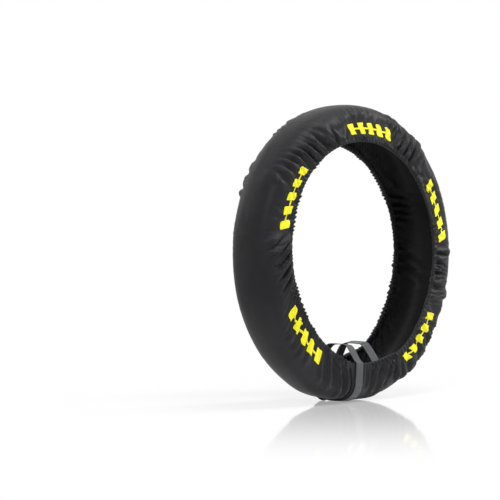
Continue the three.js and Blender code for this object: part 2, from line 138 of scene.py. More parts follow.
@dataclass(frozen=True)
class CoverShape:
    """The smooth outer shape that the cover has on the wheel, as in the part's source."""

    crown_radius: float = 345 * MM
    half_width: float = 63 * MM
    crown_height: float = 47 * MM
    side_height: float = 42 * MM
    fullness: float = 2.6
    hem_tuck: float = 1 * MM
    crown_ripple: float = 1.1 * MM
    hem_wander: float = 8 * MM
    strap_angle: float = math.radians(-96)
    rim_strap_angle: float = math.radians(-81)
    right_end_offset: float = 11 * MM
    end_joint_gap: float = 3.9 * MM
    hem_notch: float = 15 * MM
    hem_lobes: tuple = ((140, 1.0, 24), (222, -0.75, 24), (302, 1.0, 14))
    table: tuple = field(default=(), init=False)

    def __post_init__(self) -> None:
        """Works out the length of the section from the crown down to the hem, once."""
        share = np.linspace(0, 2, 4001)
        y, r, _, _ = self.section(share)
        steps = np.hypot(np.diff(y), np.diff(r))
        object.__setattr__(self, "table", (share, np.concatenate([[0], np.cumsum(steps)])))

    @property
    def widest_radius(self) -> float:
        """The radius where the cover is widest."""
        return self.crown_radius - self.crown_height

    @property
    def hem_radius(self) -> float:
        """The radius of both hems."""
        return self.widest_radius - self.side_height

    @property
    def hem_half_width(self) -> float:
        """How far each hem is from the middle plane."""
        return self.half_width - self.hem_tuck

    @property
    def half_cut(self) -> float:
        """The cloth's length from the crown to a hem's fold."""
        return float(self.table[1][-1])

    @property
    def cut_length(self) -> float:
        """The strip's flat length, which is its length round the crown."""
        return 2 * math.pi * self.crown_radius

    def section(self, share: Array) -> tuple[Array, Array, Array, Array]:
        """The half section at shares: 0 is the crown, 1 the widest point and 2 the hem.

        Args:
            share: Places on the section.

        Returns:
            Distance from the middle plane, radius, and the outward normal's two parts.
        """
        share = np.asarray(share, float)
        turn = math.pi / 2 * np.clip(share, 0, 1)
        power = 2 / self.fullness
        across, up = np.sin(turn) ** power, np.maximum(np.cos(turn), 0) ** power
        below = np.maximum(share - 1, 0)
        y = self.half_width * across - self.hem_tuck * below**2
        r = self.widest_radius + self.crown_height * up - self.side_height * below
        ny = across ** (self.fullness - 1) / self.half_width
        nr = up ** (self.fullness - 1) / self.crown_height
        ny = np.where(share > 1, 1.0, ny)
        nr = np.where(share > 1, -2 * self.hem_tuck * below / self.side_height, nr)
        size = np.hypot(ny, nr)
        return y, r, ny / size, nr / size

    def share_at(self, cut: Array) -> Array:
        """The share at distances along the cloth from the crown.

        Args:
            cut: Distances along the cloth.

        Returns:
            Shares from 0 to 2.
        """
        return np.interp(cut, self.table[1], self.table[0])

    def share_at_height(self, height: Array) -> Array:
        """The share at heights above the hem, on the straight side and on the crown's curve.

        Args:
            height: Radial heights above the hem, up to the crown's height.

        Returns:
            Shares from 0 to 2.
        """
        height = np.asarray(height, float)
        up = np.clip((height - self.side_height) / self.crown_height, 0, 1)
        above = np.arccos(up ** (self.fullness / 2)) / (math.pi / 2)
        return np.where(height <= self.side_height, 2 - height / self.side_height, above)

    def calm(self, angle: Array) -> Array:
        """0 beside the straps, where the shape is even, and 1 elsewhere.

        Args:
            angle: Angles round the wheel.

        Returns:
            Numbers from 0 to 1.
        """
        middle = (self.strap_angle + self.rim_strap_angle) / 2
        zone = (self.rim_strap_angle - self.strap_angle) / 2 + math.radians(6)
        return smoothstep(np.abs(angle_between(angle, middle)), zone, zone + math.radians(14))

    def ripple(self, angle: Array, share: Array) -> Array:
        """The slow ripple of the crown and the sides.

        Args:
            angle: Angles round the wheel.
            share: Places on the section.

        Returns:
            Outward distances.
        """
        wave = (np.sin(3 * angle + 0.6) + 0.8 * np.sin(7 * angle + 2.1)
                + 0.7 * np.sin(13 * angle + 0.9))
        return self.crown_ripple * wave * self.calm(angle) * (1 - share / 2)

    def wander(self, angle: Array, share: Array) -> Array:
        """How far the hem runs outside its circle.

        Args:
            angle: Angles round the wheel.
            share: Places on the section.

        Returns:
            Radial distances.
        """
        rise = np.zeros_like(np.asarray(angle, float))
        for degrees, amount, spread in self.hem_lobes:
            steps = angle_between(angle, math.radians(degrees)) / math.radians(spread)
            rise = rise + self.hem_wander * amount * np.exp(-steps * steps / 2)
        return rise * self.calm(angle) * np.maximum(share - 1, 0)

    def end_angles(self, share: Array) -> tuple[Array, Array]:
        """The angles of the strip's right and left ends.

        Args:
            share: Places on the section.

        Returns:
            The first and the last angle, almost a full turn apart.
        """
        _, r, _, _ = self.section(share)
        notch = self.hem_notch * np.maximum(np.asarray(share, float) - 1, 0)
        first = self.strap_angle - self.right_end_offset / r
        last = self.strap_angle - (self.right_end_offset + self.end_joint_gap + notch) / r
        return first, last + 2 * math.pi

    def angle_on_strip(self, along: Array, share: Array) -> Array:
        """The angle at a share of the strip's length.

        Args:
            along: 0 at the right end and 1 at the left end.
            share: Places on the section.

        Returns:
            Angles round the wheel.
        """
        first, last = self.end_angles(share)
        return first + (last - first) * along

    def strip_share(self, angle: Array, share: Array) -> Array:
        """The share of the strip's length at angles round the wheel.

        Args:
            angle: Angles.
            share: Places on the section.

        Returns:
            Numbers from 0 at the right end to 1 at the left end.
        """
        first, last = self.end_angles(share)
        return (first + (angle - first) % (2 * math.pi) - first) / (last - first)

    def place(self, angle: Array, share: Array, side: Array, lift: Array) -> Array:
        """Points at a lift outwards from the smooth cloth.

        Args:
            angle: Angles round the wheel.
            share: Places on the section.
            side: -1 on the front and 1 on the back.
            lift: Outward distances.

        Returns:
            Points, with their three coordinates last.
        """
        y, r, ny, nr = self.section(share)
        out = lift + self.ripple(angle, share)
        radius = r + self.wander(angle, share) + nr * out
        across = side * (y + ny * out)
        parts = np.broadcast_arrays(radius * np.cos(angle), across, radius * np.sin(angle))
        return np.stack(parts, -1)


@dataclass(frozen=True)
class Crease:
    """One large fold that runs from the hem towards the crown."""

    offset: float
    lean: float
    height: float
    width: float
    reach: float


@dataclass
class Gathers:
    """The heights of the cloth's folds before it settles, and of the ruching at the hems."""

    shape: CoverShape
    mark_angles: tuple[float, ...]
    mark_half_angle: float = math.radians(16)
    large_pitch: float = 35 * MM
    medium_pitch: float = 19 * MM
    fine_count: int = 152
    large_height: float = 9.0 * MM
    medium_height: float = 5.0 * MM
    ruche_height: float = 5.2 * MM
    ruche_reach: float = 27 * MM
    ruche_sway: float = 12 * MM
    deepest: float = 6 * MM
    crown_cap: float = 1.8 * MM
    side_cap: float = 7.2 * MM
    end_flat: float = 9 * MM
    strap_flat: float = 13.5 * MM
    creases: tuple[Crease, ...] = (
        Crease(-0.047, 0.016, 13 * MM, 8.0 * MM, 0.108),
        Crease(-0.078, 0.030, 14 * MM, 9.5 * MM, 0.125),
        Crease(-0.112, 0.018, 12 * MM, 11.0 * MM, 0.100),
        Crease(-0.149, 0.034, 11 * MM, 10.0 * MM, 0.090),
        Crease(0.040, -0.002, 9 * MM, 7.0 * MM, 0.075),
        Crease(0.070, -0.030, 13 * MM, 8.0 * MM, 0.118),
        Crease(0.107, -0.036, 14 * MM, 11.0 * MM, 0.130),
        Crease(0.137, -0.052, 12 * MM, 8.0 * MM, 0.105),
        Crease(0.168, -0.030, 11 * MM, 9.5 * MM, 0.090),
    )

    def __post_init__(self) -> None:
        """Makes the noises, one for each kind of unevenness and side."""
        self.noises = {side: [SmoothNoise(31 * (side + 3) + k) for k in range(8)]
                       for side in (-1, 1)}

    def near_marks(self, angle: Array) -> Array:
        """1 on the front where film is pressed on, and 0 elsewhere.

        Args:
            angle: Angles round the wheel.

        Returns:
            Numbers from 0 to 1.
        """
        hold = np.zeros_like(angle)
        for middle in self.mark_angles:
            away = np.abs(angle_between(angle, middle))
            near = 1 - smoothstep(away, self.mark_half_angle, self.mark_half_angle * 1.4)
            hold = np.maximum(hold, near)
        return hold

    def held(self, angle: Array, share: Array) -> tuple[Array, Array]:
        """How free the cloth is beside its ends, and how high it may rise beside the straps.

        Args:
            angle: Angles round the wheel.
            share: Places on the section.

        Returns:
            Freedom from 0 to 1, and the highest lift.
        """
        _, r, _, _ = self.shape.section(share)
        along = self.shape.strip_share(angle, share)
        first, last = self.shape.end_angles(share)
        edge = np.minimum(along, 1 - along) * (last - first) * r
        free = smoothstep(edge, self.end_flat, self.end_flat + 14 * MM)
        beside = np.abs(angle_between(angle, self.shape.strap_angle)) * r - self.strap_flat
        cap = 0.7 * MM + 0.9 * np.maximum(beside, 0)
        return free, cap

    def large(self, along: Array, cut: Array, side: int) -> Array:
        """The lift of the large folds and the named creases.

        Args:
            along: Shares of the strip's length.
            cut: Distances from the crown along the cloth.
            side: -1 on the front and 1 on the back.

        Returns:
            Lifts.
        """
        noise = self.noises[side]
        length = self.shape.cut_length
        x, down = along * length, cut / self.shape.half_cut
        share = self.shape.share_at(cut)
        angle = self.shape.angle_on_strip(along, share)
        lean = 0.085 * noise[0](x / 0.15) * (1 - down)
        start = 0.3 + 0.2 * noise[1](x / 0.06)
        rise = smoothstep((down - start) / 0.4, 0, 1) * (1 - 0.35 * smoothstep(down, 0.86, 1.0))
        phase = 2 * math.pi * (x + lean) / self.large_pitch + 2.6 * noise[2](x / 0.11, down * 1.6)
        size = np.clip(0.6 + 0.8 * noise[3](x / 0.07, down * 1.6), 0.06, 1.35)
        wave = np.sin(phase + 0.75 * np.sin(phase + 0.7))
        folds = self.large_height * size * rise * (wave + 0.15)
        phase = 2 * math.pi * (x + 1.5 * lean) / self.medium_pitch
        phase = phase + 2.4 * noise[4](x / 0.05, down * 3)
        middle = smoothstep(down, 0.45, 0.75) * (1 - 0.3 * smoothstep(down, 0.9, 1.0))
        size = np.clip(0.45 + 0.9 * noise[5](x / 0.05, down * 2.5), 0, 1.3)
        folds = folds + self.medium_height * size * middle * np.sin(phase)
        _, r, _, _ = self.shape.section(share)
        offset = angle_between(angle, self.shape.strap_angle) * r
        from_hem = self.shape.half_cut - cut
        zone = 1 - smoothstep(np.abs(offset), 0.15, 0.19)
        folds = folds * (1 - 0.5 * zone)
        for crease in self.creases if side < 0 else self.creases[::2]:
            bend = crease.lean * (from_hem / 0.1) ** 1.4
            across = (offset - crease.offset - bend) / crease.width
            fade = smoothstep(from_hem, 0, 16 * MM) * 0.75 + 0.25
            fade = fade * (1 - smoothstep(from_hem, 0.55 * crease.reach, crease.reach))
            profile = np.exp(-np.abs(across) ** 1.7) - 0.5 * np.exp(-(across / 2.1) ** 2)
            folds = folds + crease.height * fade * profile
        hold = self.near_marks(angle) if side < 0 else np.zeros_like(angle)
        folds = folds * (1 - 0.72 * hold * smoothstep(down, 0.46, 0.62))
        free, cap = self.held(angle, share)
        low = self.deepest * smoothstep(down, 0.3, 0.7) + 0.3 * MM
        folds = -soft_min(-folds * free, low, 1.5 * MM)
        high = self.crown_cap + self.side_cap * smoothstep(down, 0.22, 0.62)
        return soft_min(soft_min(folds, high, 2 * MM), cap, 1.5 * MM)

    def ruche(self, along: Array, from_hem: Array, side: int) -> Array:
        """The outward lift of the fine ruching that the elastic makes at a hem.

        Args:
            along: Shares of the strip's length.
            from_hem: Distances from the hem's fold along the cloth.
            side: -1 on the front and 1 on the back.

        Returns:
            Lifts from 0 upwards.
        """
        noise = self.noises[side]
        share = self.shape.share_at(self.shape.half_cut - from_hem)
        angle = self.shape.angle_on_strip(along, share)
        hold = self.near_marks(angle) if side < 0 else np.zeros_like(angle)
        reach = (self.ruche_reach + self.ruche_sway * noise[6](along * 62)) * (1 - 0.35 * hold)
        fade = 1 - smoothstep(from_hem / reach, 0.15, 1.0)
        phase = 2 * math.pi * self.fine_count * along + 3.0 * noise[7](along * 58, from_hem / 0.03)
        wave = 0.5 + 0.5 * np.sin(phase + 0.4 * np.sin(phase))
        size = np.clip(0.7 + 0.6 * noise[5](along * 71 + 9), 0.3, 1.15)
        free, cap = self.held(angle, share)
        lift = self.ruche_height * size * wave * fade * free
        return np.minimum(lift, np.maximum(cap, 0.2 * MM))


@dataclass
class ClothRelaxer:
    """Lets the gathered strip settle over the tyre's form with Blender's cloth simulation."""

    shape: CoverShape
    frames: int = 24
    quality: int = 6
    furthest: float = 9 * MM
    crown_inset: float = 1.6 * MM
    side_inset: float = 6 * MM
    hem_inset: float = 4.5 * MM

    def form(self) -> bpy.types.Object:
        """The tyre's form that carries the cloth from inside.

        Returns:
            A closed ring with a Collision modifier.
        """
        share = np.concatenate([np.linspace(0, 1, 15), np.linspace(1.15, 2, 7)])
        y, r, ny, nr = self.shape.section(share)
        inset = (self.crown_inset + self.side_inset * smoothstep(share, 0.35, 1.1)
                 + self.hem_inset * smoothstep(share, 1.2, 2))
        y, r = y - ny * inset, r - nr * inset
        half = np.stack([y, r], 1)
        loop = np.concatenate([half[::-1], half[1:] * (-1, 1)])
        loop = np.concatenate([loop, [[-0.03, 0.215], [0.03, 0.215]]])
        turns = np.linspace(0, 2 * math.pi, 145)[:-1]
        rows = np.stack([loop[None, :, 1] * np.cos(turns)[:, None],
                         np.broadcast_to(loop[None, :, 0], (144, len(loop))),
                         loop[None, :, 1] * np.sin(turns)[:, None]], -1)
        made = Mesher.ring("tyre_form", rows, closed=True)
        made.modifiers.new("Collision", "COLLISION")
        made.collision.thickness_outer = 1.2 * MM
        made.collision.cloth_friction = 8
        return made

    def relax(self, start: Array, rest: Array, pinned: Array) -> Array:
        """Runs the simulation.

        Args:
            start: Points of the gathered strip, rows by columns.
            rest: The strip's unstrained points, of the same shape.
            pinned: How firmly each point is held, of the same rows and columns.

        Returns:
            The settled points.
        """
        rows, columns, _ = start.shape
        strip = Mesher.grid("strip", start)
        strip.shape_key_add(name="Basis")
        cut = strip.shape_key_add(name="cut")
        cut.data.foreach_set("co", rest.astype(np.float32).ravel())
        group = strip.vertex_groups.new(name="held")
        for weight in np.unique(pinned[pinned > 0]):
            group.add(np.flatnonzero(pinned.ravel() == weight).tolist(), float(weight), "REPLACE")
        cloth = strip.modifiers.new("Cloth", "CLOTH")
        settings = cloth.settings
        settings.quality = self.quality
        settings.mass = 0.2
        settings.tension_stiffness = settings.compression_stiffness = 12
        settings.shear_stiffness = 4
        settings.bending_stiffness = 0.12
        settings.tension_damping = settings.compression_damping = settings.shear_damping = 8
        settings.bending_damping = 0.6
        settings.air_damping = 4
        settings.vertex_group_mass = group.name
        settings.pin_stiffness = 4
        settings.rest_shape_key = cut
        settings.effector_weights.gravity = 0.25
        cloth.collision_settings.collision_quality = 2
        cloth.collision_settings.distance_min = 1 * MM
        cloth.collision_settings.use_self_collision = False
        cloth.point_cache.frame_start, cloth.point_cache.frame_end = 1, self.frames
        form = self.form()
        scene = bpy.context.scene
        scene.frame_start, scene.frame_end = 1, self.frames
        for number in range(1, self.frames + 1):
            scene.frame_set(number)
        found = strip.evaluated_get(bpy.context.evaluated_depsgraph_get())
        settled = np.zeros(rows * columns * 3, np.float32)
        found.data.vertices.foreach_get("co", settled)
        scene.frame_set(1)
        Mesher.remove(strip, form)
        settled = settled.reshape(start.shape).astype(float)
        moved = settled - start
        far = np.linalg.norm(moved, axis=-1, keepdims=True)
        return start + moved * np.minimum(1, self.furthest / np.maximum(far, 1e-9))


class Mesher:
    """Makes Blender meshes from arrays of points."""

    @staticmethod
    def mesh(name: str, points: Array, faces: Array,
             uvs: Optional[Array] = None) -> bpy.types.Object:
        """A smooth mesh object.

        Args:
            name: The piece's name.
            points: Points, three numbers each.
            faces: Four corners for each face.
            uvs: Two numbers for each point, in metres along and across the material.

        Returns:
            The object, linked to the scene.
        """
        data = bpy.data.meshes.new(name)
        points, faces = np.asarray(points, np.float32), np.asarray(faces, np.int32)
        data.vertices.add(len(points))
        data.vertices.foreach_set("co", points.ravel())
        data.loops.add(faces.size)
        data.loops.foreach_set("vertex_index", faces.ravel())
        data.polygons.add(len(faces))
        data.polygons.foreach_set("loop_start", np.arange(0, faces.size, 4, dtype=np.int32))
        data.update(calc_edges=True)
        data.polygons.foreach_set("use_smooth", np.ones(len(faces), bool))
        if uvs is not None:
            layer = data.uv_layers.new(name="cloth")
            layer.uv.foreach_set("vector", np.asarray(uvs, np.float32)[faces.ravel()].ravel())
        made = bpy.data.objects.new(name, data)
        bpy.context.scene.collection.objects.link(made)
        return made

    @staticmethod
    def grid_faces(rows: int, columns: int, start: int = 0, flip: bool = False) -> Array:
        """The faces of a grid whose points are numbered row by row.

        Args:
            rows: Rows of points.
            columns: Points in a row.
            start: The first point's number.
            flip: Turns the faces over.

        Returns:
            Four corners for each face.
        """
        first = np.arange(rows - 1)[:, None] * columns + np.arange(columns - 1)[None, :]
        first = first.ravel() + start
        faces = np.stack([first, first + 1, first + columns + 1, first + columns], 1)
        return faces[:, ::-1] if flip else faces

    @classmethod
    def grid(cls, name: str, points: Array) -> bpy.types.Object:
        """An open grid of faces.

        Args:
            name: The object's name.
            points: Rows by columns of points.

        Returns:
            The object.
        """
        rows, columns, _ = points.shape
        return cls.mesh(name, points.reshape(-1, 3), cls.grid_faces(rows, columns))

    @staticmethod
    def volume(points: Array, faces: Array) -> float:
        """Six times the volume that a closed mesh of four-cornered faces holds, with its sign.

        Args:
            points: The mesh's points.
            faces: Its faces.

        Returns:
            A positive number where the faces point out.
        """
        a, b, c, d = (points[faces[:, i]] for i in range(4))
        return float((a * (np.cross(b, c) + np.cross(c, d))).sum())

    @classmethod
    def ring(cls, name: str, loops: Array, closed: bool,
             uvs: Optional[Array] = None) -> bpy.types.Object:
        """A solid from equal closed loops of points, joined one to the next.

        Args:
            name: The piece's name.
            loops: Loops by points. The loop's second half mirrors its first where ends are capped.
            closed: Joins the last loop to the first. Otherwise both ends are capped.
            uvs: Loops by points of two numbers.

        Returns:
            The object, with its faces outwards.
        """
        count, size, _ = loops.shape
        i = np.arange(count if closed else count - 1)[:, None]
        j = np.arange(size)[None, :]
        a, b = i * size + j, i * size + (j + 1) % size
        c, d = (i + 1) % count * size + (j + 1) % size, (i + 1) % count * size + j
        faces = np.stack([a, b, c, d], -1).reshape(-1, 4)
        if not closed:
            k = np.arange(size // 2 - 1)
            cap = np.stack([k, size - 1 - k, size - 2 - k, k + 1], 1)
            faces = np.concatenate([faces, cap, cap[:, ::-1] + (count - 1) * size])
        points = loops.reshape(-1, 3)
        if cls.volume(points, faces) < 0:
            faces = faces[:, ::-1]
        return cls.mesh(name, points, faces, None if uvs is None else uvs.reshape(-1, 2))

    @staticmethod
    def remove(*objects: bpy.types.Object) -> None:
        """Deletes helper objects with their meshes.

        Args:
            objects: What to delete.
        """
        for item in objects:
            data = item.data
            bpy.data.objects.remove(item)
            if data is not None and data.users == 0:
                bpy.data.meshes.remove(data)


@dataclass
class ClothSurface:
    """The finished cloth: the smooth shape, its large folds after they settle, and the ruching."""

    shape: CoverShape
    gathers: Gathers
    columns: int = 434
    half_rows: int = 28
    strap_hold: float = 13 * MM

    def __post_init__(self) -> None:
        """Works out the folds and settles them with the cloth simulation."""
        count = 2 * self.half_rows + 1
        self.down = np.linspace(-1, 1, count)[:, None]
        self.along = np.linspace(0, 1, self.columns)[None, :]
        lift = np.empty((count, self.columns))
        for side in (-1, 1):
            rows = (np.sign(self.down[:, 0]) == side) | (self.down[:, 0] == 0)
            cut = np.abs(self.down[rows]) * self.shape.half_cut
            lift[rows] = self.gathers.large(self.along, cut, side)
        self.offsets = np.zeros((count, self.columns, 3))
        self.offsets[..., 1] = lift
        self.settle()

    def frame_at(self, along: Array, down: Array) -> tuple[Array, Array, Array, Array]:
        """The smooth shape's points and directions.

        Args:
            along: Shares of the strip's length.
            down: -1 at the front hem, 0 at the crown and 1 at the back hem.

        Returns:
            Points, and the directions along the strip, outwards and towards the back hem.
        """
        side = np.where(down < 0, -1.0, 1.0)
        share = self.shape.share_at(np.abs(down) * self.shape.half_cut)
        angle = self.shape.angle_on_strip(along, share)
        point = self.shape.place(angle, share, side, 0.0)
        _, _, ny, nr = self.shape.section(share)
        cos, sin = np.cos(angle), np.sin(angle)
        out = np.stack(np.broadcast_arrays(nr * cos, side * ny, nr * sin), -1)
        forward = np.stack(np.broadcast_arrays(-sin, 0 * cos, cos), -1)
        return point, forward, out, np.cross(forward, out)

    def settle(self) -> None:
        """Replaces the folds by the simulated ones."""
        point, forward, out, across = self.frame_at(self.along, self.down)
        start = point + out * self.offsets[..., 1:2]
        share = self.shape.share_at(np.abs(self.down) * self.shape.half_cut)
        _, r, _, _ = self.shape.section(share)
        spare = (self.shape.crown_radius / r - 1) * (0.9 - 0.55 * smoothstep(share, 1.3, 2.0))
        ring = r * (1 + spare)
        width = np.full_like(ring, self.shape.half_cut / self.half_rows)
        step = np.diff(ring, axis=0)
        rise = np.sqrt(np.maximum(width[1:] ** 2 - step**2, 1e-8))
        y = np.concatenate([[[0.0]], np.cumsum(rise, axis=0)])
        angle = self.shape.angle_on_strip(self.along, 0 * share)
        rest = np.stack(np.broadcast_arrays(ring * np.cos(angle), y, ring * np.sin(angle)), -1)
        pinned = np.zeros(start.shape[:2])
        pinned[[0, -1]] = 1.0
        pinned[:, [0, 1, -2, -1]] = 1.0
        angle = self.shape.angle_on_strip(self.along, share)
        offset = np.abs(angle_between(angle, self.shape.strap_angle)) * r
        pinned[offset < self.strap_hold] = 1.0
        settled = ClothRelaxer(self.shape).relax(start, rest, pinned)
        moved = settled - point
        parts = [(moved * axis).sum(-1) for axis in (forward, out, across)]
        self.offsets = np.stack(parts, -1)
        _, cap = self.gathers.held(angle, share)
        self.offsets[..., 1] = soft_min(self.offsets[..., 1], cap, 1 * MM)
        log.info("cloth settled, folds from %.1f to %.1f mm",
                 self.offsets[..., 1].min() / MM, self.offsets[..., 1].max() / MM)

    def folds_at(self, along: Array, down: Array) -> Array:
        """The large folds between the simulated points, on a smooth curve through them.

        Args:
            along: Shares of the strip's length.
            down: Places from hem to hem, -1 to 1.

        Returns:
            Distances along the strip, outwards and towards the back hem.
        """
        rows, columns, _ = self.offsets.shape
        x = np.clip(along, 0, 1) * (columns - 1)
        y = (np.clip(down, -1, 1) + 1) / 2 * (rows - 1)
        x, y = np.broadcast_arrays(x, y)
        i, j = np.clip(x.astype(int), 0, columns - 2), np.clip(y.astype(int), 0, rows - 2)
        total = np.zeros(x.shape + (3,))
        for k, row_weight in enumerate(self.weights(y - j)):
            row = np.clip(j + k - 1, 0, rows - 1)
            line = np.zeros_like(total)
            for m, weight in enumerate(self.weights(x - i)):
                line += weight[..., None] * self.offsets[row, np.clip(i + m - 1, 0, columns - 1)]
            total += row_weight[..., None] * line
        return total

    @staticmethod
    def weights(t: Array) -> tuple[Array, Array, Array, Array]:
        """The four weights of a Catmull-Rom curve.

        Args:
            t: Places between the second and third point, 0 to 1.

        Returns:
            The weights.
        """
        return (
            -0.5 * t + t**2 - 0.5 * t**3,
            1 - 2.5 * t**2 + 1.5 * t**3,
            0.5 * t + 2 * t**2 - 1.5 * t**3,
            -0.5 * t**2 + 0.5 * t**3,
        )

    def points(self, along: Array, down: Array, lift: Array = 0.0, puckers: float = 1.0) -> Array:
        """Points of the cloth's outer face, or beside it along the smooth shape's normal.

        Args:
            along: Shares of the strip's length.
            down: Places from hem to hem, -1 to 1.
            lift: Outward distances from the face.
            puckers: Share of the fine ruching.

        Returns:
            Points.
        """
        along, down = np.broadcast_arrays(np.asarray(along, float), np.asarray(down, float))
        point, forward, out, across = self.frame_at(along, down)
        folds = self.folds_at(along, down)
        from_hem = (1 - np.abs(down)) * self.shape.half_cut
        fine = np.where(down < 0, self.gathers.ruche(along, from_hem, -1),
                        self.gathers.ruche(along, from_hem, 1)) * puckers
        calm = smoothstep(from_hem, 2 * MM, 16 * MM)
        height = np.maximum(folds[..., 1], -self.gathers.deepest) * (0.35 + 0.65 * calm)
        height = np.maximum(height, 0) + np.minimum(height, 0) * calm + fine + lift
        return point + forward * (folds[..., :1] * calm[..., None]) + out * height[..., None] \
            + across * (folds[..., 2:] * calm[..., None])

    def beside(self, along: Array, down: Array, lift: float) -> tuple[Array, Array]:
        """Points at a true distance from the cloth, folds included.

        Args:
            along: Shares of the strip's length.
            down: Places from hem to hem, -1 to 1.
            lift: Distance from the face.

        Returns:
            Points and the cloth's outward normals.
        """
        point = self.points(along, down)
        reach = 1.2 * MM
        forward = self.points(along + reach / self.shape.cut_length, down)
        across = self.points(along, down + reach / self.shape.half_cut)
        normal = np.cross(across - point, forward - point)
        normal /= np.maximum(np.linalg.norm(normal, axis=-1, keepdims=True), 1e-12)
        outwards = np.sign((normal * self.frame_at(along, down)[2]).sum(-1, keepdims=True))
        normal = normal * outwards
        return point + normal * lift, normal


@dataclass
class ClothFace:
    """The cloth's outer face as it is meshed, which film must follow exactly."""

    along: Array
    down: Array
    points: Array

    def __post_init__(self) -> None:
        """Works out the outward normals of the mesh's points."""
        normal = np.cross(np.gradient(self.points, axis=0), np.gradient(self.points, axis=1))
        normal /= np.maximum(np.linalg.norm(normal, axis=-1, keepdims=True), 1e-12)
        middle = len(self.down) // 2
        outwards = np.sign((normal[middle, 0] * self.points[middle, 0]).sum())
        self.normals = normal * outwards

    def at(self, along: Array, down: Array, lift: float) -> Array:
        """Points at a distance from the meshed face.

        Args:
            along: Shares of the strip's length.
            down: Places from hem to hem.
            lift: Distance from the face.

        Returns:
            Points.
        """
        x = np.interp(along, self.along, np.arange(len(self.along)))
        y = np.interp(down, self.down, np.arange(len(self.down)))
        i = np.clip(x.astype(int), 0, len(self.along) - 2)
        j = np.clip(y.astype(int), 0, len(self.down) - 2)
        fx, fy = (x - i)[..., None], (y - j)[..., None]

        def blend(values: Array) -> Array:
            """The values between the mesh's points."""
            low = values[j, i] * (1 - fx) + values[j, i + 1] * fx
            high = values[j + 1, i] * (1 - fx) + values[j + 1, i + 1] * fx
            return low * (1 - fy) + high * fy

        return blend(self.points) + blend(self.normals) * lift


Number = Union[float, int, "Socket"]


class Socket:
    """A node's output that takes part in Python expressions on numbers."""

    def __init__(self, graph: "Graph", link: bpy.types.NodeSocket) -> None:
        """Keeps the output and the graph that it is in.

        Args:
            graph: The node graph.
            link: The output socket.
        """
        self.graph = graph
        self.link = link

    def _maths(self, operation: str, first: Number, second: Number) -> "Socket":
        """A Math node on two values.

        Args:
            operation: The node's operation.
            first: The first value.
            second: The second value.

        Returns:
            The node's result.
        """
        return self.graph.add("ShaderNodeMath", {"operation": operation}, {0: first, 1: second})

    def __add__(self, other: Number) -> "Socket":
        """The sum."""
        return self._maths("ADD", self, other)

    def __mul__(self, other: Number) -> "Socket":
        """The product."""
        return self._maths("MULTIPLY", self, other)

    def at_least(self, other: Number) -> "Socket":
        """The larger of the two."""
        return self._maths("MAXIMUM", self, other)


class Graph:
    """A node tree that is built by one method."""

    def __init__(self, tree: bpy.types.NodeTree) -> None:
        """Empties the tree.

        Args:
            tree: The tree to build in.
        """
        self.tree = tree
        tree.nodes.clear()

    def add(self, kind: str, settings: Optional[dict] = None, values: Optional[dict] = None,
            output: Union[int, str] = 0) -> Socket:
        """Adds a node.

        Args:
            kind: The node's type.
            settings: Its settings. The stops of a ramp are pairs of position and colour.
            values: Values or links of its input sockets, by name or number.
            output: The output that is wanted.

        Returns:
            The output.
        """
        node = self.tree.nodes.new(kind)
        for name, value in (settings or {}).items():
            if name == "stops":
                self._set_stops(node.color_ramp.elements, value)
            else:
                setattr(node, name, value)
        for key, value in (values or {}).items():
            if isinstance(value, Socket):
                self.tree.links.new(value.link, node.inputs[key])
            else:
                node.inputs[key].default_value = value
        return Socket(self, node.outputs[output]) if node.outputs else Socket(self, None)

    @staticmethod
    def _set_stops(elements: bpy.types.ColorRampElements, stops: Sequence) -> None:
        """Sets a ramp's stops.

        Args:
            elements: The ramp's elements.
            stops: Pairs of position and colour.
        """
        while len(elements) > len(stops):
            elements.remove(elements[-1])
        while len(elements) < len(stops):
            elements.new(1.0)
        for element, (position, colour) in zip(elements, stops):
            element.position, element.color = position, (*colour, 1.0)


